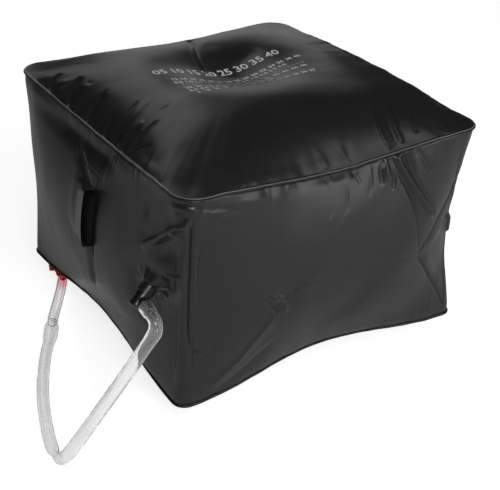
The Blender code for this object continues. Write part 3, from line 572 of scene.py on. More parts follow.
bag = {
    "halfWidth": 0.187,
    "halfDepth": 0.200,
    "baseHalfDepth": 0.1925,
    "cornerLift": 0.038,
    "wallRise": 0.248,
    "domeRise": 0.030,
    "film": 0.0008,
    "weldGap": 0.0003,
    "lip": 0.0015,
    "topRadius": 0.024,
    "baseRadius": 0.012,
    # for the front, right, rear and left: how far the middle of each seam is drawn in, and down or up,
    # how far the wall bulges, and how far the corner after it is pinched in
    "topDraws": (0.0122, 0.0020, 0.0100, 0.0129),
    "topSags": (0.0146, -0.0010, 0.0110, 0.0150),
    "baseDraws": (0.0133, 0.0047, 0.0133, 0.0047),
    "baseRises": (0.0125, 0.0159, 0.0125, 0.0159),
    "bulges": (0.028, 0.028, 0.028, 0.028),
    "pinches": (0.014, 0.008, 0.004, 0.008),
    "domePower": 4.2,
    "flatShare": 0.5,
    # columns of each wall and of the corner after it, more where the camera looks
    "sideColumns": (268, 80, 56, 210),
    "cornerColumns": (40, 12, 12, 62),
    "wallRows": 120,
    "seamRows": (0.0025, 0.0050, 0.0110),
    "groove": 0.0011,
    "grooveReach": 0.0013,
    "fuller": 0.0022,    # the walls swell this much beyond the plain shape
    "seamOut": 0.0008,    # and the seams stand out this much
    "seamPower": 6,    # how fast the seams' unevenness dies out into the wall
    "panelReach": 0.190,    # from the middle of the top or base to a seam
    "topLoop": 1.52,    # the way round the top and the base
    "baseLoop": 1.5,
    "basePower": 1.5,    # how the base rises to its seam
    "baseZ": 0.0004,    # the film's middle over the floor
    "lowest": 0.0002,
    # the welded edges' outline: share of the lip's width and of its thickness at each step
    "lipThick": 1.2,
    "wallLip": ((0.35, 0.0), (0.75, 0.0), (1.0, 0.15), (1.0, 0.85), (0.6, 1.0)),
    "panelLip": ((0.4, 0.0), (0.8, 0.0), (1.0, 0.15), (1.0, 0.85), (0.5, 1.0)),
    "panelCells": 240,
    "cornerShare": 0.06,
}
outlet = {
    "y": -0.1430,
    "z": 0.1718,
    "turn": math.radians(12),
    "tilt": math.radians(8),
    "flat": 0.016,
    "blend": 0.056,
    "bend": math.radians(30),
    "collar": 0.0062,
    "mouth": 0.0095,
    "skirt": 0.0170,
    "tucks": 11,
    "tuckDepth": 0.0007,
}
filler = {"z": 0.200, "flat": 0.040, "blend": 0.075}
handle = {
    "z": 0.190,
    "gap": 0.068,
    "tab": 0.012,
    "width": 0.050,
    "strap": 0.0005,
    "patch": 0.00008,
    "margin": 0.005,
    "search": 0.03,    # how far out and in the sculpted wall is looked for
    "bedded": 0.001,    # a place that is lifted less than this follows the sculpted wall
    "freed": 0.004,    # and over this much more it comes free of it
    "patchLift": 0.00004,
    "strapLift": 0.0002,
    "rearShare": 0.06,    # the rear edge stands off this share as far
    "frontPower": 1.3,    # how fast that grows towards the front edge
    "hang": 0.25,    # the loop's lower end is closer to the wall by this share
    "patchCells": (48, 84),
    "strapCells": (42, 120),
}
# how far each loop's front edge stands off the wall, how soon it rises there, and how much slower behind
loops = {"left": (0.0125, 0.0034, 0.020), "right": (0.0090, 0.0050, 0.020)}


def stationArrays(sideColumns, cornerColumns):
    side, turn, along = [], [], []
    for s in range(4):
        for i in range(sideColumns[s]):
            side.append(s)
            turn.append(0.0)
            along.append(i / sideColumns[s])
        for i in range(cornerColumns[s]):
            side.append(s)
            turn.append(i / cornerColumns[s])
            along.append(1.0)
    return np.array(side), np.array(turn), np.array(along)


def seamAt(side, turn, along, halfX, halfY, radius, draws, lifts):
    reach = np.where(side % 2 == 0, halfX, halfY)
    depth = np.where(side % 2 == 0, halfY, halfX)
    swell = np.sin(math.pi * along) ** 2
    tangent = (2 * along - 1) * (reach - radius)
    angle = turn * math.pi / 2
    across = tangent + radius * np.sin(angle)
    outward = depth - radius + radius * np.cos(angle) - np.array(draws)[side] * swell
    heading = side * math.pi / 2
    planX = across * np.cos(heading) + outward * np.sin(heading)
    planY = across * np.sin(heading) - outward * np.cos(heading)
    facing = heading + angle
    normal = np.stack([np.sin(facing), -np.cos(facing)], -1)
    return np.stack([planX, planY], -1), np.array(lifts)[side] * swell, normal


def topSeam(side, turn, along):
    lifts = [-v for v in bag["topSags"]]
    plan, lift, normal = seamAt(side, turn, along, bag["halfWidth"], bag["halfDepth"], bag["topRadius"],
                                bag["topDraws"], lifts)
    return plan, bag["cornerLift"] + bag["wallRise"] + lift, normal


def baseSeam(side, turn, along):
    plan, lift, normal = seamAt(side, turn, along, bag["halfWidth"], bag["baseHalfDepth"], bag["baseRadius"],
                                bag["baseDraws"], bag["baseRises"])
    return plan, bag["cornerLift"] + lift, normal


def wallAt(side, turn, along, share):
    lowPlan, lowZ, normal = baseSeam(side, turn, along)
    highPlan, highZ, _ = topSeam(side, turn, along)
    plan = lowPlan + (highPlan - lowPlan) * share[..., None]
    belly = np.sin(math.pi * along)
    pinches = np.array(bag["pinches"])
    pinch = np.where(along > 0.5, pinches[side], pinches[side - 1])
    bulge = np.array(bag["bulges"])[side] * belly - pinch * (1 - belly) ** 3
    plan = plan + normal * (bulge * np.sin(math.pi * share))[..., None]
    return np.concatenate([plan, (lowZ + (highZ - lowZ) * share)[..., None]], -1)


def wallPlace(sideNumber, offset, height):
    # points of the plain wall, at distances along one side and heights
    offset, height = np.broadcast_arrays(np.asarray(offset, float), np.asarray(height, float))
    run = (bag["halfWidth"], bag["halfDepth"])[sideNumber % 2] - bag["topRadius"]
    along = (offset / run + 1) / 2
    sideHere = np.full(offset.shape, sideNumber)
    straight = np.zeros(offset.shape)
    low, high = np.zeros(offset.shape), np.ones(offset.shape)
    for _ in range(30):
        middle = (low + high) / 2
        below = wallAt(sideHere, straight, along, middle)[..., 2] < height
        low = np.where(below, middle, low)
        high = np.where(below, high, middle)
    return wallAt(sideHere, straight, along, low)


def wallFacing(sideNumber, offset, height):
    step = 0.0008
    across = wallPlace(sideNumber, offset + step, height) - wallPlace(sideNumber, offset - step, height)
    upward = wallPlace(sideNumber, offset, height + step) - wallPlace(sideNumber, offset, height - step)
    normal = np.cross(across, upward)
    return normal / np.linalg.norm(normal, axis=-1)[..., None]


class Seat:
    # a flat place of the film round a fitting, blended into the wall
    def __init__(self, middle, normal, flat, blend):
        self.normal = np.array(normal) / np.linalg.norm(normal)
        self.middle = np.array(middle) + self.normal * bag["film"] / 2
        self.flat = flat
        self.blend = blend

    def settle(self, points):
        offset = points - self.middle
        height = offset @ self.normal
        reach = np.linalg.norm(offset - height[..., None] * self.normal, axis=-1)
        hold = smooth((self.blend - reach) / (self.blend - self.flat))
        hold = np.where(height < -self.blend, 0, hold)
        moved = points - self.normal * ((height + bag["film"] / 2) * hold)[..., None]
        return moved, smooth((self.blend * 0.75 - reach) / (self.blend * 0.75 - self.flat * 0.55))


level = math.cos(outlet["tilt"])
outletNormal = (-math.cos(outlet["turn"]) * level, -math.sin(outlet["turn"]) * level,
                -math.sin(outlet["tilt"]))
outletSeat = Seat(wallPlace(3, -outlet["y"], outlet["z"]), outletNormal, outlet["flat"], outlet["blend"])
fillerSeat = Seat(wallPlace(2, 0.0, filler["z"]), wallFacing(2, 0.0, filler["z"]), filler["flat"],
                  filler["blend"])


def coverPort(points):
    # the film is drawn up over the port's flange to the collar, in small tucks
    normal = outletSeat.normal
    across = np.cross((0.0, 0.0, 1.0), normal)
    across /= np.linalg.norm(across)
    up = np.cross(normal, across)
    offset = points - outletSeat.middle
    u = -(offset @ up)
    v = offset @ across
    h = offset @ normal
    tilt = math.sin(outlet["bend"]), math.cos(outlet["bend"])
    middle = outlet["collar"] * tilt[0]
    rho = np.hypot((u - middle) / tilt[1], v)
    plane = (outlet["collar"] - np.clip(u, -outlet["mouth"], outlet["mouth"]) * tilt[0]) / tilt[1]
    share = np.clip((outlet["mouth"] + outlet["skirt"] - rho) / outlet["skirt"], 0, 1)
    rise = plane * (0.35 * share + 0.65 * share ** 2.2)
    around = np.arctan2(v, u - middle)
    tuck = np.sin(around * outlet["tucks"] + 1.3 * np.sin(around * 2 + 1)) + 0.6 * np.sin(around * 5 + 2.0)
    hold = smooth(share / 0.25) * smooth((1 - share) / 0.35)
    rise = rise + outlet["tuckDepth"] * tuck * hold
    rise = np.where((np.abs(h) < 0.02) & (share > 0), rise, 0)
    return points + normal * rise[..., None]


# folds: lines on the film, in millimetres

def fold(kind, depth, width, *line, start=None, end=0.22, lean=1):
    # start and end are the shares of its length over which it fades, and lean is the side of its slack flank
    return {"kind": kind, "depth": depth, "width": width, "line": line, "start": start or end, "end": end,
            "lean": lean}


wallFolds = [
    # front corner: the sharp upright line where the sleeve was folded flat
    fold("crease", -3.2, 1.8, (-175, -195, 267), (-175, -193, 251), (-175, -190, 222), (-176, -191, 196),
         (-176, -190, 177), (-175, -187, 131), (-173, -188, 105), end=0.08),
    fold("ridge", 1.0, 3.0, (-171, -193, 262), (-171, -192, 222), (-171, -191, 180), (-170, -189, 120)),
    fold("ridge", 0.8, 4.0, (-179, -188, 255), (-180, -186, 210), (-180, -184, 160)),
    # half-height storage crease on the front
    fold("crease", -1.4, 1.5, (96, -207, 148), (71, -210, 155), (47, -211, 157), (21, -211, 158),
         (-16, -212, 158), (-55, -211, 163), (-86, -210, 167), (-119, -205, 176), end=0.12),
    fold("valley", -1.0, 2.4, (-166, -194, 196), (-140, -199, 187), (-112, -205, 178), (-86, -210, 168)),
    fold("soft", 1.2, 9.0, (-150, -198, 196), (-100, -207, 178), (-54, -211, 165), (0, -210, 153),
         (60, -209, 152)),
    # the bundle that hangs from the right end of the front seam, down to the star
    fold("valley", -3.0, 2.0, (66, -193, 274), (68, -195, 269), (74, -199, 256), (84, -202, 240),
         (93, -205, 221), (98, -207, 200), (101, -207, 186), start=0.03, end=0.4),
    fold("crease", -1.3, 0.9, (93, -205, 221), (98, -207, 200), (102, -207, 178), (108, -206, 158),
         (108, -206, 148)),
    fold("ridge", 3.8, 4.6, (72, -195, 274), (76, -197, 263), (83, -200, 251), (92, -203, 237),
         (104, -205, 219), (115, -204, 204), (126, -202, 188), start=0.03, end=0.15, lean=-1),
    fold("valley", -3.6, 2.4, (85, -195, 276), (89, -199, 263), (95, -202, 245), (106, -204, 227),
         (118, -204, 210), (130, -202, 188), start=0.03, end=0.15, lean=-1),
    fold("valley", -1.9, 2.4, (57, -193, 272), (53, -194, 263), (53, -197, 253), (55, -199, 246),
         start=0.03),
    fold("ridge", 1.3, 2.8, (60, -193, 272), (60, -196, 260), (61, -199, 248), start=0.03),
    fold("valley", -2.2, 2.4, (63, -194, 272), (67, -197, 261), (70, -200, 250), (66, -202, 237),
         start=0.03),
    fold("valley", -1.5, 2.6, (98, -197, 278), (107, -199, 265), (115, -201, 252), (119, -201, 243),
         start=0.03),
    fold("crease", -0.8, 2.2, (40, -192, 271), (39, -198, 249), (33, -200, 236)),
    fold("crease", -0.6, 1.8, (7, -194, 254), (6, -199, 240), (5, -202, 226)),
    # the star at mid height: thin line to the upper right, deep fold to the lower right
    fold("crease", -2.3, 1.2, (176, -185, 226), (168, -188, 214), (160, -189, 201), (140, -198, 184),
         (124, -202, 165), (108, -205, 148), end=0.08),
    fold("soft", 1.2, 8.0, (182, -184, 212), (166, -190, 188), (146, -197, 168), (120, -203, 150)),
    fold("crease", -2.2, 1.1, (108, -205, 147), (120, -202, 133), (138, -196, 109), (153, -191, 88),
         (165, -190, 67), (175, -191, 50), start=0.03, end=0.1),
    fold("soft", 1.4, 6.0, (118, -204, 146), (136, -198, 122), (154, -191, 98), (170, -190, 76)),
    fold("valley", -0.8, 2.4, (14, -183, 277), (18, -191, 266), (28, -196, 250)),
    # the bump in the right outline
    fold("ridge", 3.4, 4.2, (170, -184, 174), (172, -182, 167), (172, -182, 158), (171, -182, 149),
         start=0.12, end=0.12),
    # level folds under the front corner
    fold("valley", -2.0, 2.3, (-188, -165, 276), (-185, -181, 279), (-179, -193, 281), (-169, -198, 277),
         (-150, -199, 272), (-128, -199, 268)),
    fold("ridge", 1.6, 2.3, (-187, -172, 274), (-183, -187, 276), (-176, -195, 275), (-165, -198, 271),
         (-140, -199, 266)),
    fold("valley", -1.5, 2.2, (-186, -176, 270), (-180, -191, 271), (-170, -197, 267), (-150, -199, 261)),
    fold("valley", -1.2, 2.4, (-172, -197, 262), (-152, -198, 256), (-134, -200, 250)),
    fold("ridge", 1.0, 2.6, (-170, -197, 256), (-140, -200, 262), (-118, -200, 258)),
    # slanted folds on the left wall, at the front corner
    fold("ridge", 5.4, 4.6, (-177, -193, 266), (-179, -190, 258), (-185, -173, 245), (-191, -159, 231),
         (-195, -145, 220), (-198, -130, 208), start=0.1, end=0.12, lean=-1),
    fold("valley", -2.4, 3.6, (-179, -190, 250), (-184, -176, 236), (-190, -160, 221), (-195, -146, 209),
         start=0.1),
    fold("pleat", 2.4, 9.0, (-178, -188, 243), (-184, -172, 230), (-191, -157, 217), (-196, -142, 206),
         end=0.3),
    fold("ridge", 2.0, 2.4, (-194, -137, 173), (-191, -158, 188), (-179, -190, 196)),
    fold("soft", -1.6, 6.0, (-193, -128, 233), (-189, -135, 251), (-188, -149, 266), (-187, -172, 277)),
    # the hollow under the left seam
    fold("soft", -4.5, 10.0, (-168, 180, 262), (-174, 120, 258), (-180, 60, 256), (-184, 10, 257),
         (-187, -30, 262), (-187, -60, 266), end=0.16),
    # the left wall's upright fold, through the gap behind the strap's front edge
    fold("soft", -2.8, 5.0, (-182, 42, 257), (-188, 28, 242), (-192, 9, 231), (-199, -8, 222),
         (-204, -24, 212), end=0.3),
    fold("soft", -3.6, 6.0, (-203, -27, 226), (-205, -28, 200), (-206, -28, 165), (-206, -24, 140),
         (-204, -19, 118), (-199, -14, 96), end=0.16),
    fold("ridge", 1.0, 1.9, (-180, -38, 266), (-185, -38, 250), (-190, -38, 235), start=0.03),
    # small knuckles on the front
    fold("ridge", 2.9, 2.8, (-91, -209, 158), (-84, -209, 154), (-77, -209, 149), (-71, -208, 139),
         (-68, -208, 130)),
    fold("valley", -3.0, 3.2, (-93, -208, 153), (-87, -208, 144), (-79, -208, 134)),
    fold("valley", -2.2, 3.2, (-84, -209, 160), (-70, -210, 156), (-56, -211, 160)),
    fold("ridge", 1.5, 2.2, (-175, -188, 107), (-163, -192, 101), (-156, -194, 107), (-160, -193, 117)),
    fold("valley", -1.4, 3.0, (-172, -188, 112), (-163, -192, 108)),
    # puckers at the outlet
    fold("valley", -1.3, 2.0, (-190, -152, 172), (-188, -156, 160), (-186, -157, 146), (-184, -152, 131)),
    fold("ridge", 1.2, 2.2, (-189, -160, 182), (-186, -165, 166), (-184, -168, 146)),
    # long slack folds near the base of the front
    fold("ridge", 2.0, 6.0, (-160, -193, 50), (-120, -200, 80), (-90, -206, 120), (-76, -208, 140)),
    fold("valley", -1.3, 7.0, (-150, -193, 46), (-108, -198, 66), (-70, -203, 96)),
]
topBowl = {"middle": (5, 30), "depth": 22.0, "reach": 60.0}    # where the print has sunk, in millimetres
topFolds = [
    # the fold that runs from the rear into the sunk place
    fold("valley", -4.0, 7.0, (16, 150), (7, 124), (-9, 82), (-15, 55), (-17, 37), start=0.03, lean=-1),
    fold("soft", -2.2, 13.0, (9, 120), (12, 78), (38, 62), (73, 69)),
    fold("crease", -0.8, 2.2, (-26, 14), (-12, 12), (3, 13), end=0.4),
    fold("crease", -0.7, 2.4, (-128, -40), (-109, -37), end=0.5),
    # folds that start at the left seam
    fold("valley", -0.9, 3.0, (-176, 71), (-160, 76), (-146, 88), start=0.03),
    fold("valley", -0.8, 2.8, (-174, 41), (-156, 46), (-140, 58), start=0.03),
    fold("valley", -1.0, 3.2, (-174, -18), (-152, -12), (-128, 4), start=0.03),
    fold("valley", -0.8, 3.0, (-174, -28), (-143, -24), (-118, -12), start=0.03, lean=-1),
    fold("valley", -1.9, 4.0, (-186, 119), (-177, 127), (-162, 135), start=0.03),
    fold("ridge", 1.5, 4.0, (-183, 98), (-174, 109), (-165, 117), start=0.03),
    fold("valley", -2.4, 4.6, (-181, 78), (-171, 89), (-150, 106), start=0.03),
    fold("ridge", 1.9, 4.0, (-179, 64), (-167, 72), (-150, 86), start=0.03),
    fold("valley", -2.0, 4.4, (-176, 40), (-164, 47), (-146, 52), start=0.03),
    fold("valley", -1.7, 3.4, (-175, 0), (-167, 3), (-156, 8), start=0.03),
    fold("valley", -1.4, 3.6, (-174, -62), (-165, -60), (-150, -56), (-134, -52), start=0.03),
    # the panel is fuller along the right seam
    fold("soft", 4.6, 17.0, (170, -172), (173, -80), (173, 60), (168, 168)),
    # the bright fold at the notch of the left seam
    fold("ridge", 2.6, 3.8, (-180, -43), (-170, -38), (-163, -36), (-155, -37), (-146, -43), start=0.03,
         end=0.12, lean=-1),
    fold("valley", -1.8, 3.0, (-178, -50), (-166, -46), (-154, -48), start=0.03, end=0.12),
    fold("valley", -1.1, 3.0, (-179, -66), (-168, -74), (-160, -87), start=0.03),
    # folds that start at the right end of the front seam
    fold("valley", -1.3, 3.0, (66, -190), (66, -172), (72, -152), (80, -130), start=0.03),
    fold("valley", -1.5, 3.0, (84, -190), (86, -176), (94, -152), (104, -124), start=0.03, lean=-1),
    fold("ridge", 1.0, 3.4, (76, -188), (78, -172), (86, -148), start=0.03),
    fold("valley", -1.0, 2.8, (104, -186), (108, -172), (116, -156), start=0.03),
]


pickSlack = 0.004    # how far from the film a picked line may lie


def lineField(points, line, normals):
    # each point's distance from a line of several pieces, its side of it, and its place along it from 0 to 1
    line = np.array(line, float) * mm
    if line.shape[1] == 2:
        line = np.c_[line, np.zeros(len(line))]
    pieces = np.diff(line, axis=0)
    lengths = np.linalg.norm(pieces, axis=1)
    starts = np.r_[0, np.cumsum(lengths)]
    best = np.full(points.shape[:-1], 1e9)
    side = np.zeros(points.shape[:-1])
    place = np.zeros(points.shape[:-1])
    for i, (piece, length) in enumerate(zip(pieces, lengths)):
        offset = points - line[i]
        t = np.clip(offset @ piece / length ** 2, 0, 1)
        gap = offset - t[..., None] * piece
        # measured along the film, so that a picked line need not lie exactly on it
        off = np.sum(gap * normals, axis=-1)
        flat = np.linalg.norm(gap - off[..., None] * normals, axis=-1)
        distance = np.hypot(flat, np.maximum(np.abs(off) - pickSlack, 0))
        nearer = distance < best
        best = np.where(nearer, distance, best)
        across = np.cross(piece / length, normals)
        side = np.where(nearer, np.sum(gap * across, axis=-1), side)
        place = np.where(nearer, (starts[i] + t * length) / starts[-1], place)
    return best, side, place


foldShape = {
    "slack": 1.45,    # how much wider the slack flank is
    "steep": 0.62,
    "crest": 0.0017,    # the crest's half width in metres
    "crestShare": 0.45,    # or this share of a narrow fold's half width
    "heights": (0.58, 0.42),    # of the round part and of the crest, of a fold of height 1
}


def foldLift(points, normals, folds):
    lift = np.zeros(points.shape[:-1])
    for line in folds:
        distance, side, place = lineField(points, line["line"], normals)
        width = line["width"] * mm
        taper = smooth(place / line["start"]) * smooth((1 - place) / line["end"])
        # one flank is steep and the other slack
        flank = np.where(side * line["lean"] > 0, foldShape["slack"], foldShape["steep"])
        shape = distance / width / flank
        if line["kind"] == "crease":
            profile = np.exp(-shape)
        elif line["kind"] == "soft":
            profile = np.exp(-(distance / width) ** 2)
        elif line["kind"] == "pleat":
            profile = side / width * np.exp(0.5 - 0.5 * (distance / width) ** 2)
        else:
            # a ridge or a valley has a creased crest
            crest = distance / flank / min(width * foldShape["crestShare"], foldShape["crest"])
            rounded, sharp = foldShape["heights"]
            profile = rounded * np.exp(-shape ** 2) + sharp * np.exp(-crest)
        lift += line["depth"] * mm * profile * taper
    return lift


# slow waves of each film: length, seed, height, and how much shorter they are upright
waves = {
    "wall": ((0.150, 3, 0.0011, 1), (0.045, 8, 0.00022, 0.6)),
    "top": ((0.170, 5, 0.0010, 1), (0.050, 6, 0.00016, 1)),
    "base": ((0.08, 9, 0.0008, 1),),
}


def swells(points, scale, seed, count=18):
    # slow uneven waves: many plane waves of about one length in random directions
    rng = np.random.default_rng(seed)
    total = np.zeros(points.shape[:-1])
    for _ in range(count):
        direction = rng.normal(size=3)
        direction *= 2 * math.pi / (scale * rng.uniform(0.7, 1.6)) / np.linalg.norm(direction)
        total += np.sin(points @ direction + rng.uniform(0, 2 * math.pi))
    return total / math.sqrt(count / 2)


def addWaves(lift, points, film, fade=1):
    # adds them to the array that is given
    for length, seed, height, upright in waves[film]:
        lift += swells(points * np.array((1, 1, upright)), length, seed) * height * fade


# short folds at each seam: seed, count, depth in millimetres and length in metres
seamFolds = {
    "wallTop": (21, 46, (0.2, 0.8), (0.010, 0.034)),
    "wallBase": (22, 64, (0.2, 0.7), (0.010, 0.034)),
    "top": (31, 60, (0.2, 0.6), (0.010, 0.040)),
    "base": (41, 90, (0.3, 1.0), (0.010, 0.034)),
}


def puckers(around, inward, total, seam, width=(0.0022, 0.0048)):
    # short folds that start at a seam and die out into the film
    seed, count, depth, length = seamFolds[seam]
    rng = random.Random(seed)
    lift = np.zeros(around.shape)
    for _ in range(count):
        spot = rng.uniform(0, total)
        reach = rng.uniform(*length)
        wide = rng.uniform(*width)
        lean = rng.uniform(-0.45, 0.45)
        height = rng.uniform(*depth) * mm * rng.choice((-1, 1))
        gap = around - spot - lean * inward
        gap = (gap + total / 2) % total - total / 2
        spread = wide * (1 + inward / reach * 0.9)
        fade = smooth(inward / 0.0035) * smooth(1.15 - inward / reach)
        lift += height * np.exp(-(gap / spread) ** 2) * fade
    return lift


crinkle = {
    "count": 150,
    "seed": 12,
    "length": (0.012, 0.045),
    "depth": (0.12, 0.45),    # depth and half width in millimetres
    "width": (0.8, 1.9),
    "reach": 0.045,    # nothing is felt farther from a crinkle's middle
}


def crinkles(points, normals):
    # short sharp creases at random places, mostly upright
    rng = random.Random(crinkle["seed"])
    flat = points.reshape(-1, 3)
    lift = np.zeros(points.shape[:-1])
    folds = []
    for _ in range(crinkle["count"]):
        start = flat[rng.randrange(len(flat))]
        lean = rng.gauss(0, 0.5)
        run = rng.uniform(*crinkle["length"]) / mm
        heading = rng.uniform(0, 2 * math.pi)
        bend = rng.uniform(-0.25, 0.25)
        line = []
        for step in (-0.5, 0.0, 0.5):
            wide = run * (step * math.sin(lean) + bend * step * step)
            offset = (wide * math.cos(heading), wide * math.sin(heading), run * step * math.cos(lean))
            line.append(tuple(start[i] / mm + offset[i] for i in range(3)))
        depth = rng.uniform(*crinkle["depth"]) * rng.choice((-1, 1))
        folds.append(fold("crease", depth, rng.uniform(*crinkle["width"]), *line, end=0.45))
    for crease in folds:
        middle = np.array(crease["line"][1]) * mm
        near = np.linalg.norm(points - middle, axis=-1) < crinkle["reach"]
        if near.any():
            lift[near] += foldLift(points[near], normals[near], [crease])
    return lift


def gridNormals(points, closed=True):
    if closed:
        across = np.roll(points, -1, 0) - np.roll(points, 1, 0)
    else:
        across = np.gradient(points, axis=0)
    upward = np.gradient(points, axis=1)
    normals = np.cross(across, upward)
    return normals / (np.linalg.norm(normals, axis=-1)[..., None] + 1e-12)


side, turn, along = stationArrays(bag["sideColumns"], bag["cornerColumns"])
columns = len(side)
bent = 1 + (turn - 1) * bag["cornerShare"]
loopPlace = (side + np.where(turn > 0, bent, along * (1 - bag["cornerShare"]))) / 4


def wander(amount, cycles, seed):
    rng = random.Random(seed)
    total = np.zeros(columns)
    for cycle in cycles:
        total += np.sin(2 * math.pi * (loopPlace * cycle + rng.random())) * rng.uniform(0.5, 1.0)
    return total / len(cycles) * amount


topWanderZ = wander(0.0009, (5, 9, 14, 22, 37, 61), 4)
topWanderOut = wander(0.0007, (7, 12, 19, 33, 55), 5) + bag["seamOut"]
baseWanderZ = wander(0.0006, (5, 8, 13, 23, 39, 58), 6)
baseWanderOut = wander(0.0005, (6, 11, 21, 34, 52), 7) + bag["seamOut"]
seamStep = (bag["film"] + bag["weldGap"]) / 2    # from the middle of a weld to the middle of each film
# how far from a seam the shapes of the walls and of the top and base come to their full height
wallFade = {"folds": 0.003, "waves": 0.012, "fuller": 0.014, "groove": 0.0006}
panelFade = {"folds": 0.004, "waves": 0.014, "base": 0.012}
seatHold = 0.93    # how much of the folds is smoothed away round a fitting


def buildWall():
    rows = bag["wallRows"]
    fine = np.array(bag["seamRows"])
    share = np.unique(np.r_[np.linspace(0, 1, rows - 2 * len(fine)), fine, 1 - fine])
    stations = [np.repeat(v[:, None], rows, 1) for v in (side, turn, along)]
    share = np.repeat(share[None, :], columns, 0)
    points = wallAt(*stations, share)
    points[..., 2] += seamStep * (1 - 2 * share)
    normal = topSeam(side, turn, along)[2]
    outward = np.concatenate([normal, np.zeros((columns, 1))], 1)
    nearTop = share ** bag["seamPower"]
    nearBase = (1 - share) ** bag["seamPower"]
    out = topWanderOut[:, None] * nearTop + baseWanderOut[:, None] * nearBase
    points += outward[:, None, :] * out[..., None]
    points[..., 2] += topWanderZ[:, None] * nearTop + baseWanderZ[:, None] * nearBase
    hold = np.zeros(points.shape[:-1])
    for seat in (fillerSeat, outletSeat):
        points, near = seat.settle(points)
        hold = np.maximum(hold, near)
    normals = gridNormals(points)
    loopLength = np.linalg.norm(np.roll(points, -1, 0) - points, axis=-1)
    around = np.cumsum(loopLength[:, rows // 2])[:, None] + 0 * share
    total = around[-1, 0]
    height = np.abs(np.cumsum(np.linalg.norm(np.gradient(points, axis=1), axis=-1), axis=1))
    fromBase = height - height[:, :1]
    fromTop = height[:, -1:] - height

    lift = foldLift(points, normals, wallFolds)
    lift += crinkles(points, normals)
    lift += puckers(around, fromTop, total, "wallTop")
    lift += puckers(around, fromBase, total, "wallBase")
    fade = smooth(fromTop / wallFade["waves"]) * smooth(fromBase / wallFade["waves"])
    addWaves(lift, points, "wall", fade)
    lift *= (1 - hold * seatHold) * smooth(fromTop / wallFade["folds"]) * smooth(fromBase / wallFade["folds"])
    for away in (fromTop, fromBase):
        lift += bag["fuller"] / 2 * (1 - hold) * smooth(away / wallFade["fuller"])
        groove = np.exp(-((away - bag["grooveReach"]) / bag["grooveReach"] * 1.6) ** 2)
        lift -= bag["groove"] * groove * smooth(away / wallFade["groove"])
    points = coverPort(points + normals * lift[..., None])

    # the lips: the welded edges stand out level from the wall, then turn back under themselves
    lowRows = []
    highRows = []
    for out, down in bag["wallLip"]:
        reach = outward * (bag["lip"] * out)
        thick = np.array((0, 0, bag["film"] * bag["lipThick"] * down))
        highRows.append(points[:, -1] + reach - thick)
        lowRows.append(points[:, 0] + reach + thick)
    full = np.concatenate([np.stack(lowRows[::-1], 1), points, np.stack(highRows, 1)], 1)
    mesh = meshFrom("wallSkin", full.reshape(-1, 3), gridFaces(columns, full.shape[1]))
    # the wall's lips keep the plain film colour, without the painted highlight
    paint(mesh, "lip", np.zeros(full.shape[0] * full.shape[1]))
    piece = addPiece("wallSkin", mesh, filmSkin)
    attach(piece, "bag")
    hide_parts("wall_film")
    print("wall made:", len(mesh.polygons), "faces")
    return piece


def panelGrid(seam, outs):
    # maps a square grid onto the outline, whose columns are finer on some sides than on others
    half = bag["panelCells"] // 2
    counts = np.array(bag["sideColumns"])
    corner = np.array(bag["cornerColumns"])
    starts = np.r_[0, np.cumsum(counts + corner)[:-1]]
    plan, height, normal = seam(side, turn, along)
    plan = plan + normal * outs[:, None]
    gridI, gridJ = np.meshgrid(np.arange(-half, half + 1), np.arange(-half, half + 1), indexing="ij")
    ring = np.maximum(np.abs(gridI), np.abs(gridJ))
    safe = np.maximum(ring, 1)
    s, t = gridI / safe, gridJ / safe
    # walking round from the front left corner: front, right, rear, left
    walk = np.zeros(ring.shape)
    front = (gridJ == -ring)
    right = (gridI == ring) & ~front
    rear = (gridJ == ring) & ~front & ~right
    left = ~(front | right | rear)
    walk = np.where(front, (s + 1) / 2, walk)
    walk = np.where(right, 1 + (t + 1) / 2, walk)
    walk = np.where(rear, 2 + (1 - s) / 2, walk)
    walk = np.where(left, 3 + (1 - t) / 2, walk)
    sideHere = np.floor(walk).astype(int) % 4
    part = walk - np.floor(walk)
    bend = bag["cornerShare"] / 2
    straight = (part - bend) / (1 - 2 * bend) * counts[sideHere]
    before = (part / bend - 1) * corner[sideHere - 1] / 2
    beyond = counts[sideHere] + (part - 1 + bend) / bend * corner[sideHere] / 2
    straight = np.where(part < bend, before, straight)
    straight = np.where(part > 1 - bend, beyond, straight)
    column = (starts[sideHere] + straight) % columns
    low = np.floor(column).astype(int) % columns
    high = (low + 1) % columns
    part = column - np.floor(column)
    share = ring / half
    planAt = plan[low] * (1 - part)[..., None] + plan[high] * part[..., None]
    heightAt = height[low] * (1 - part) + height[high] * part
    return planAt * share[..., None], heightAt, share, gridI / half, gridJ / half, column, walk % 4


def buildTop():
    planAt, seamZ, share, s, t, column, walk = panelGrid(topSeam, topWanderOut)
    seamZ = seamZ + topWanderZ[np.floor(column).astype(int) % columns] + seamStep
    crown = bag["cornerLift"] + bag["wallRise"] + bag["domeRise"]
    p = bag["domePower"]
    reach = 1 - (1 - np.abs(s) ** p) * (1 - np.abs(t) ** p)
    reach = np.where(share >= 1, 1, reach)
    points = np.concatenate([planAt, (crown + (seamZ - crown) * reach)[..., None]], -1)
    normals = gridNormals(points, closed=False)
    flat = points * np.array((1, 1, 0))
    lift = foldLift(flat, np.array((0.0, 0.0, 1.0)), topFolds)
    away = np.hypot(*(flat[..., i] - topBowl["middle"][i] * mm for i in range(2)))
    lift -= topBowl["depth"] * mm * np.exp(-(away / (topBowl["reach"] * mm)) ** 2)
    inward = (1 - share) * bag["panelReach"]
    lift *= smooth(inward / panelFade["folds"])
    lift += puckers(walk / 4 * bag["topLoop"], inward, bag["topLoop"], "top")
    addWaves(lift, points, "top", smooth(inward / panelFade["waves"]))
    points = points + normals * lift[..., None]
    return finishPanel("topSkin", points, topSeam, column, 1, "top_film")


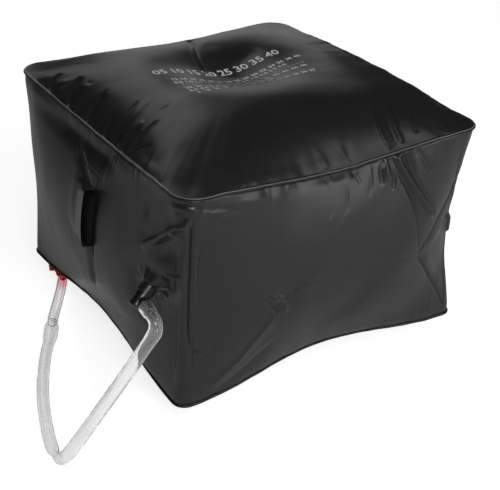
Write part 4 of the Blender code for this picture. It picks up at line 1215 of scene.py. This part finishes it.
def finishPanel(name, points, seam, column, upward, node):
    # upward is 1 for the top and -1 for the base
    count = points.shape[0]
    flatPoints = list(points.reshape(-1, 3))
    faces = [face[::upward] for face in gridFaces(count, count, closed=False)]
    # the lip runs round the grid's edge
    edge = [(i, 0) for i in range(count - 1)] + [(count - 1, j) for j in range(count - 1)]
    edge += [(i, count - 1) for i in range(count - 1, 0, -1)] + [(0, j) for j in range(count - 1, 0, -1)]
    ring = [i * count + j for i, j in edge]
    normal = seam(side, turn, along)[2]
    before = ring
    for out, down in bag["panelLip"]:
        current = []
        for (i, j), base in zip(edge, ring):
            c = int(round(column[i, j])) % columns
            spot = np.array(flatPoints[base])
            spot[:2] += normal[c] * bag["lip"] * out
            spot[2] -= upward * bag["film"] * down
            current.append(len(flatPoints))
            flatPoints.append(spot)
        for k in range(len(ring)):
            n = (k + 1) % len(ring)
            faces.append((before[k], current[k], current[n], before[n])[::upward])
        before = current
    mesh = meshFrom(name, flatPoints, faces)
    # the lip's points get the pale seam colour: partly wear, partly a painted highlight
    paint(mesh, "lip", np.arange(len(flatPoints)) >= count * count)
    piece = addPiece(name, mesh, filmSkin)
    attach(piece, "bag")
    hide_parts(node)
    print(name, "made:", len(mesh.polygons), "faces")
    return piece


def buildBase():
    planAt, seamZ, share, _, _, column, walk = panelGrid(baseSeam, baseWanderOut)
    seamZ = seamZ + baseWanderZ[np.floor(column).astype(int) % columns] - seamStep
    flat = bag["flatShare"]
    rise = np.clip((share - flat) / (1 - flat), 0, 1) ** bag["basePower"]
    points = np.concatenate([planAt, (bag["baseZ"] + (seamZ - bag["baseZ"]) * rise)[..., None]], -1)
    normals = -gridNormals(points, closed=False)
    inward = (1 - share) * bag["panelReach"]
    lift = puckers(walk / 4 * bag["baseLoop"], inward, bag["baseLoop"], "base")
    addWaves(lift, points, "base")
    lift *= smooth(inward / panelFade["base"]) * smooth((share - flat * 0.9) / (1 - flat))
    points = points + normals * lift[..., None]
    points[..., 2] = np.maximum(points[..., 2], bag["lowest"])
    return finishPanel("baseSkin", points, baseSeam, column, -1, "bottom_film")


wallSkin = buildWall()
topSkin = buildTop()
buildBase()


# straps and their patches, laid on the finished wall

def treeOf(piece):
    mesh = piece.data
    return BVHTree.FromPolygons([v.co for v in mesh.vertices], [p.vertices for p in mesh.polygons])


wallTree = treeOf(wallSkin)
topTree = treeOf(topSkin)


def sheetOver(name, sideNumber, offsets, heights, lifts, thickness, node):
    # where it lies low it follows the sculpted wall, and where it stands off it follows the plain one
    wideGrid, tallGrid = np.meshgrid(offsets, heights)
    plain = wallPlace(sideNumber, wideGrid, tallGrid)
    facing = wallFacing(sideNumber, wideGrid, tallGrid)
    grid = []
    for j in range(len(heights)):
        for i in range(len(offsets)):
            base, out = plain[j, i], facing[j, i]
            start = Vector(base + out * handle["search"])
            found = wallTree.ray_cast(start, Vector(-out), 2 * handle["search"])[0]
            ground = np.array(found) if found else base
            bedded = ground + out * lifts[j, i]
            level = base + out * (bag["film"] / 2 + lifts[j, i])
            free = smooth((lifts[j, i] - handle["bedded"]) / handle["freed"])
            grid.append(bedded * (1 - free) + level * free)
    across = len(offsets)
    faces = []
    for j in range(len(heights) - 1):
        for a in range(j * across, (j + 1) * across - 1):
            faces.append((a, a + 1, a + 1 + across, a + across))
    piece = addPiece(name, meshFrom(name, grid, faces), filmSkin)
    shell = piece.modifiers.new("thickness", "SOLIDIFY")
    shell.thickness = thickness
    shell.offset = 1.0
    rounding = piece.modifiers.new("rounding", "BEVEL")
    rounding.width = thickness * 0.3
    rounding.segments = 2
    rounding.limit_method = "ANGLE"
    shown = finalMesh(piece)
    piece.modifiers.clear()
    piece.data = shown
    shown.shade_smooth()
    shown.set_sharp_from_angle(angle=math.radians(40))
    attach(piece, "bag")
    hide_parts(node)


def buildHandle(label, sideNumber):
    run = handle["gap"] + 2 * handle["tab"]
    reach = run / 2 + handle["margin"]
    wide, tall = handle["patchCells"]
    heights = handle["z"] + np.linspace(-reach, reach, tall)
    width = handle["width"] + 2 * handle["margin"]
    offsets = np.linspace(-width / 2, width / 2, wide)
    sheetOver(label + "Patch", sideNumber, offsets, heights, np.full((tall, wide), handle["patchLift"]),
              handle["patch"], label + "_handle_patch")
    wide, tall = handle["strapCells"]
    places = np.linspace(-run / 2, run / 2, tall)
    offsets = np.linspace(-handle["width"] / 2, handle["width"] / 2, wide)
    # the loop rises at once along the front edge and slowly along the rear one
    front = 0.5 + offsets / handle["width"] * (1 if sideNumber == 3 else -1)
    standoff, ramp, slack = loops[label]
    ramps = ramp + (1 - front) * slack
    raised = smooth((handle["gap"] / 2 - np.abs(places))[:, None] / ramps[None, :])
    # it hangs a little closer to the wall at its lower end
    hang = 1 + handle["hang"] * places[:, None] / (handle["gap"] / 2)
    slant = handle["rearShare"] + (1 - handle["rearShare"]) * front ** handle["frontPower"]
    lifts = handle["strapLift"] + standoff * hang * raised * slant
    sheetOver(label + "Strap", sideNumber, offsets, handle["z"] + places, lifts, handle["strap"],
              label + "_handle_strap")


buildHandle("left", 3)
buildHandle("right", 1)
print("handles made")


# the print on the top: plain numbers and ticks, pressed onto the film

printing = {
    "lift": 0.00022,
    "capShare": 0.70,    # a number's height as a share of the font's size
    "bolder": (0.03, 0.055),    # for the large and the small numbers
    "smallBelow": 8,    # millimetres high
    # numbers, first middle and last middle along x, y, height, all in millimetres
    "rows": [
        ("05 10 15 20 25 30 35 40", -80, 72, 46, 12.5),
        ("12 14 16 18 20 22 24 26 28 30 32 34 36 38 40", -76, 90, 19.5, 6.0),
        ("0.5 1.0 1.5 2.0 2.5 3.0 3.5 4.0 4.5 5.0 5.5 6.0", -76, 62, 9.0, 6.0),
        ("22 24 26 28 30 32 34 36 38 40 42 44 46", -75, 78, -11.6, 6.0),
        ("5.5 6.5 7.5 8.5 9.5 10.5 11.5 12.5", -75, 22, -22.0, 6.0),
        ("1 3 5 7 9 11 13 15 17 19 21 23 25 27", -74, 76, -32.0, 6.0),
    ],
    # ticks: first x, last x, y, count, one tick's width and height, every fifth is longer
    "ticks": (-76, 84, -1.4, 41, 0.8, 2.6, 2.0),
}


def onTop(x, y):
    found = topTree.ray_cast(Vector((x, y, 0.6)), Vector((0, 0, -1)), 1.0)
    return found[0] + found[1] * printing["lift"]


def pressOn(name, mesh):
    # drops a flat mesh onto the top film
    for vertex in mesh.vertices:
        vertex.co = onTop(vertex.co.x, vertex.co.y)
    piece = addPiece(name, mesh, printWhite)
    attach(piece, "bag")


def numberMesh(word, x, y, height):
    curve = bpy.data.curves.new("number", "FONT")
    curve.body = word
    curve.size = height * mm / printing["capShare"]
    curve.align_x = "CENTER"
    curve.resolution_u = 2
    curve.offset = height * mm * printing["bolder"][height < printing["smallBelow"]]
    holder = bpy.data.objects.new("number", curve)
    bpy.context.scene.collection.objects.link(holder)
    mesh = finalMesh(holder)
    bpy.data.objects.remove(holder)
    mesh.transform(Matrix.Translation((x * mm, (y - height / 2) * mm, 0)))
    return mesh


def joined(name, meshes):
    body = bmesh.new()
    for mesh in meshes:
        body.from_mesh(mesh)
        bpy.data.meshes.remove(mesh)
    full = bpy.data.meshes.new(name)
    body.to_mesh(full)
    body.free()
    return full


def tickNodes():
    # a row of ticks along x, every fifth one longer
    tree = bpy.data.node_groups.new("tickRow", "GeometryNodeTree")
    tree.interface.new_socket("Geometry", in_out="OUTPUT", socket_type="NodeSocketGeometry")
    inputs = {"Count": "Int", "Step": "Float", "Width": "Float", "Height": "Float", "Longer": "Float",
              "Finish": "Material"}
    for label, kind in inputs.items():
        tree.interface.new_socket(label, in_out="INPUT", socket_type="NodeSocket" + kind)
    group = Graph(tree)
    given = {label: group.add("NodeGroupInput", output=label) for label in inputs}
    offset = group.add("ShaderNodeCombineXYZ", {"X": given["Step"]})
    line = group.add("GeometryNodeMeshLine", {"Count": given["Count"], "Offset": offset}, mode="OFFSET")
    size = {"Vertices X": 2, "Vertices Y": 4, "Size X": given["Width"], "Size Y": given["Height"]}
    tick = group.add("GeometryNodeMeshGrid", size)
    fifth = group.add("GeometryNodeInputIndex").op("MODULO", 5.0).op("LESS_THAN", 0.5)
    scale = group.add("ShaderNodeCombineXYZ", {"X": 1.0, "Y": fifth * given["Longer"] + 1.0, "Z": 1.0})
    row = group.add("GeometryNodeInstanceOnPoints", {"Points": line, "Instance": tick, "Scale": scale})
    real = group.add("GeometryNodeRealizeInstances", [row])
    real = group.add("GeometryNodeSetMaterial", {"Geometry": real, "Material": given["Finish"]})
    group.feed(tree.nodes.new("NodeGroupOutput").inputs[0], real)
    return tree


def tickMesh(first, last, y, count, width, height, longer):
    group = tickNodes()
    holder = addPiece("ticks", bpy.data.meshes.new("ticks"), smoothShade=False)
    modifier = holder.modifiers.new("ticks", "NODES")
    modifier.node_group = group
    values = {"Count": count, "Step": (last - first) / (count - 1) * mm, "Width": width * mm,
              "Height": height * mm, "Longer": longer - 1, "Finish": printWhite}
    for item in group.interface.items_tree:
        if item.name in values and item.in_out == "INPUT":
            modifier[item.identifier] = values[item.name]
    mesh = finalMesh(holder)
    bpy.data.objects.remove(holder)
    mesh.transform(Matrix.Translation((first * mm, y * mm, 0)))
    return mesh


def buildPrint():
    for number, (words, first, last, y, height) in enumerate(printing["rows"]):
        words = words.split()
        meshes = []
        for place, word in enumerate(words):
            x = first + (last - first) * place / (len(words) - 1)
            meshes.append(numberMesh(word, x, y, height))
        pressOn(f"printRow{number}", joined(f"printRow{number}", meshes))
    pressOn("printTicks", tickMesh(*printing["ticks"]))


buildPrint()
print("print made")


# fittings keep their CAD shapes and get their finishes

finishes = [
    (fittingPlastic, "outlet_port outlet_elbow filler_neck"),
    (nutPlastic, "outlet_nut"),
    (capPlastic, "filler_cap"),
    (headPlastic, "valve_body valve_plug"),
    (rosePlastic, "rose_body rose_plate"),
    (sealRubber, "outlet_gasket cap_seal plug_seal rose_seal"),
    (clipSteel, "plug_clip"),
]
for material, names in finishes:
    for nodeName in names.split():
        mesh = nodes[nodeName].data
        mesh.materials.clear()
        mesh.materials.append(material)
print("fittings finished")
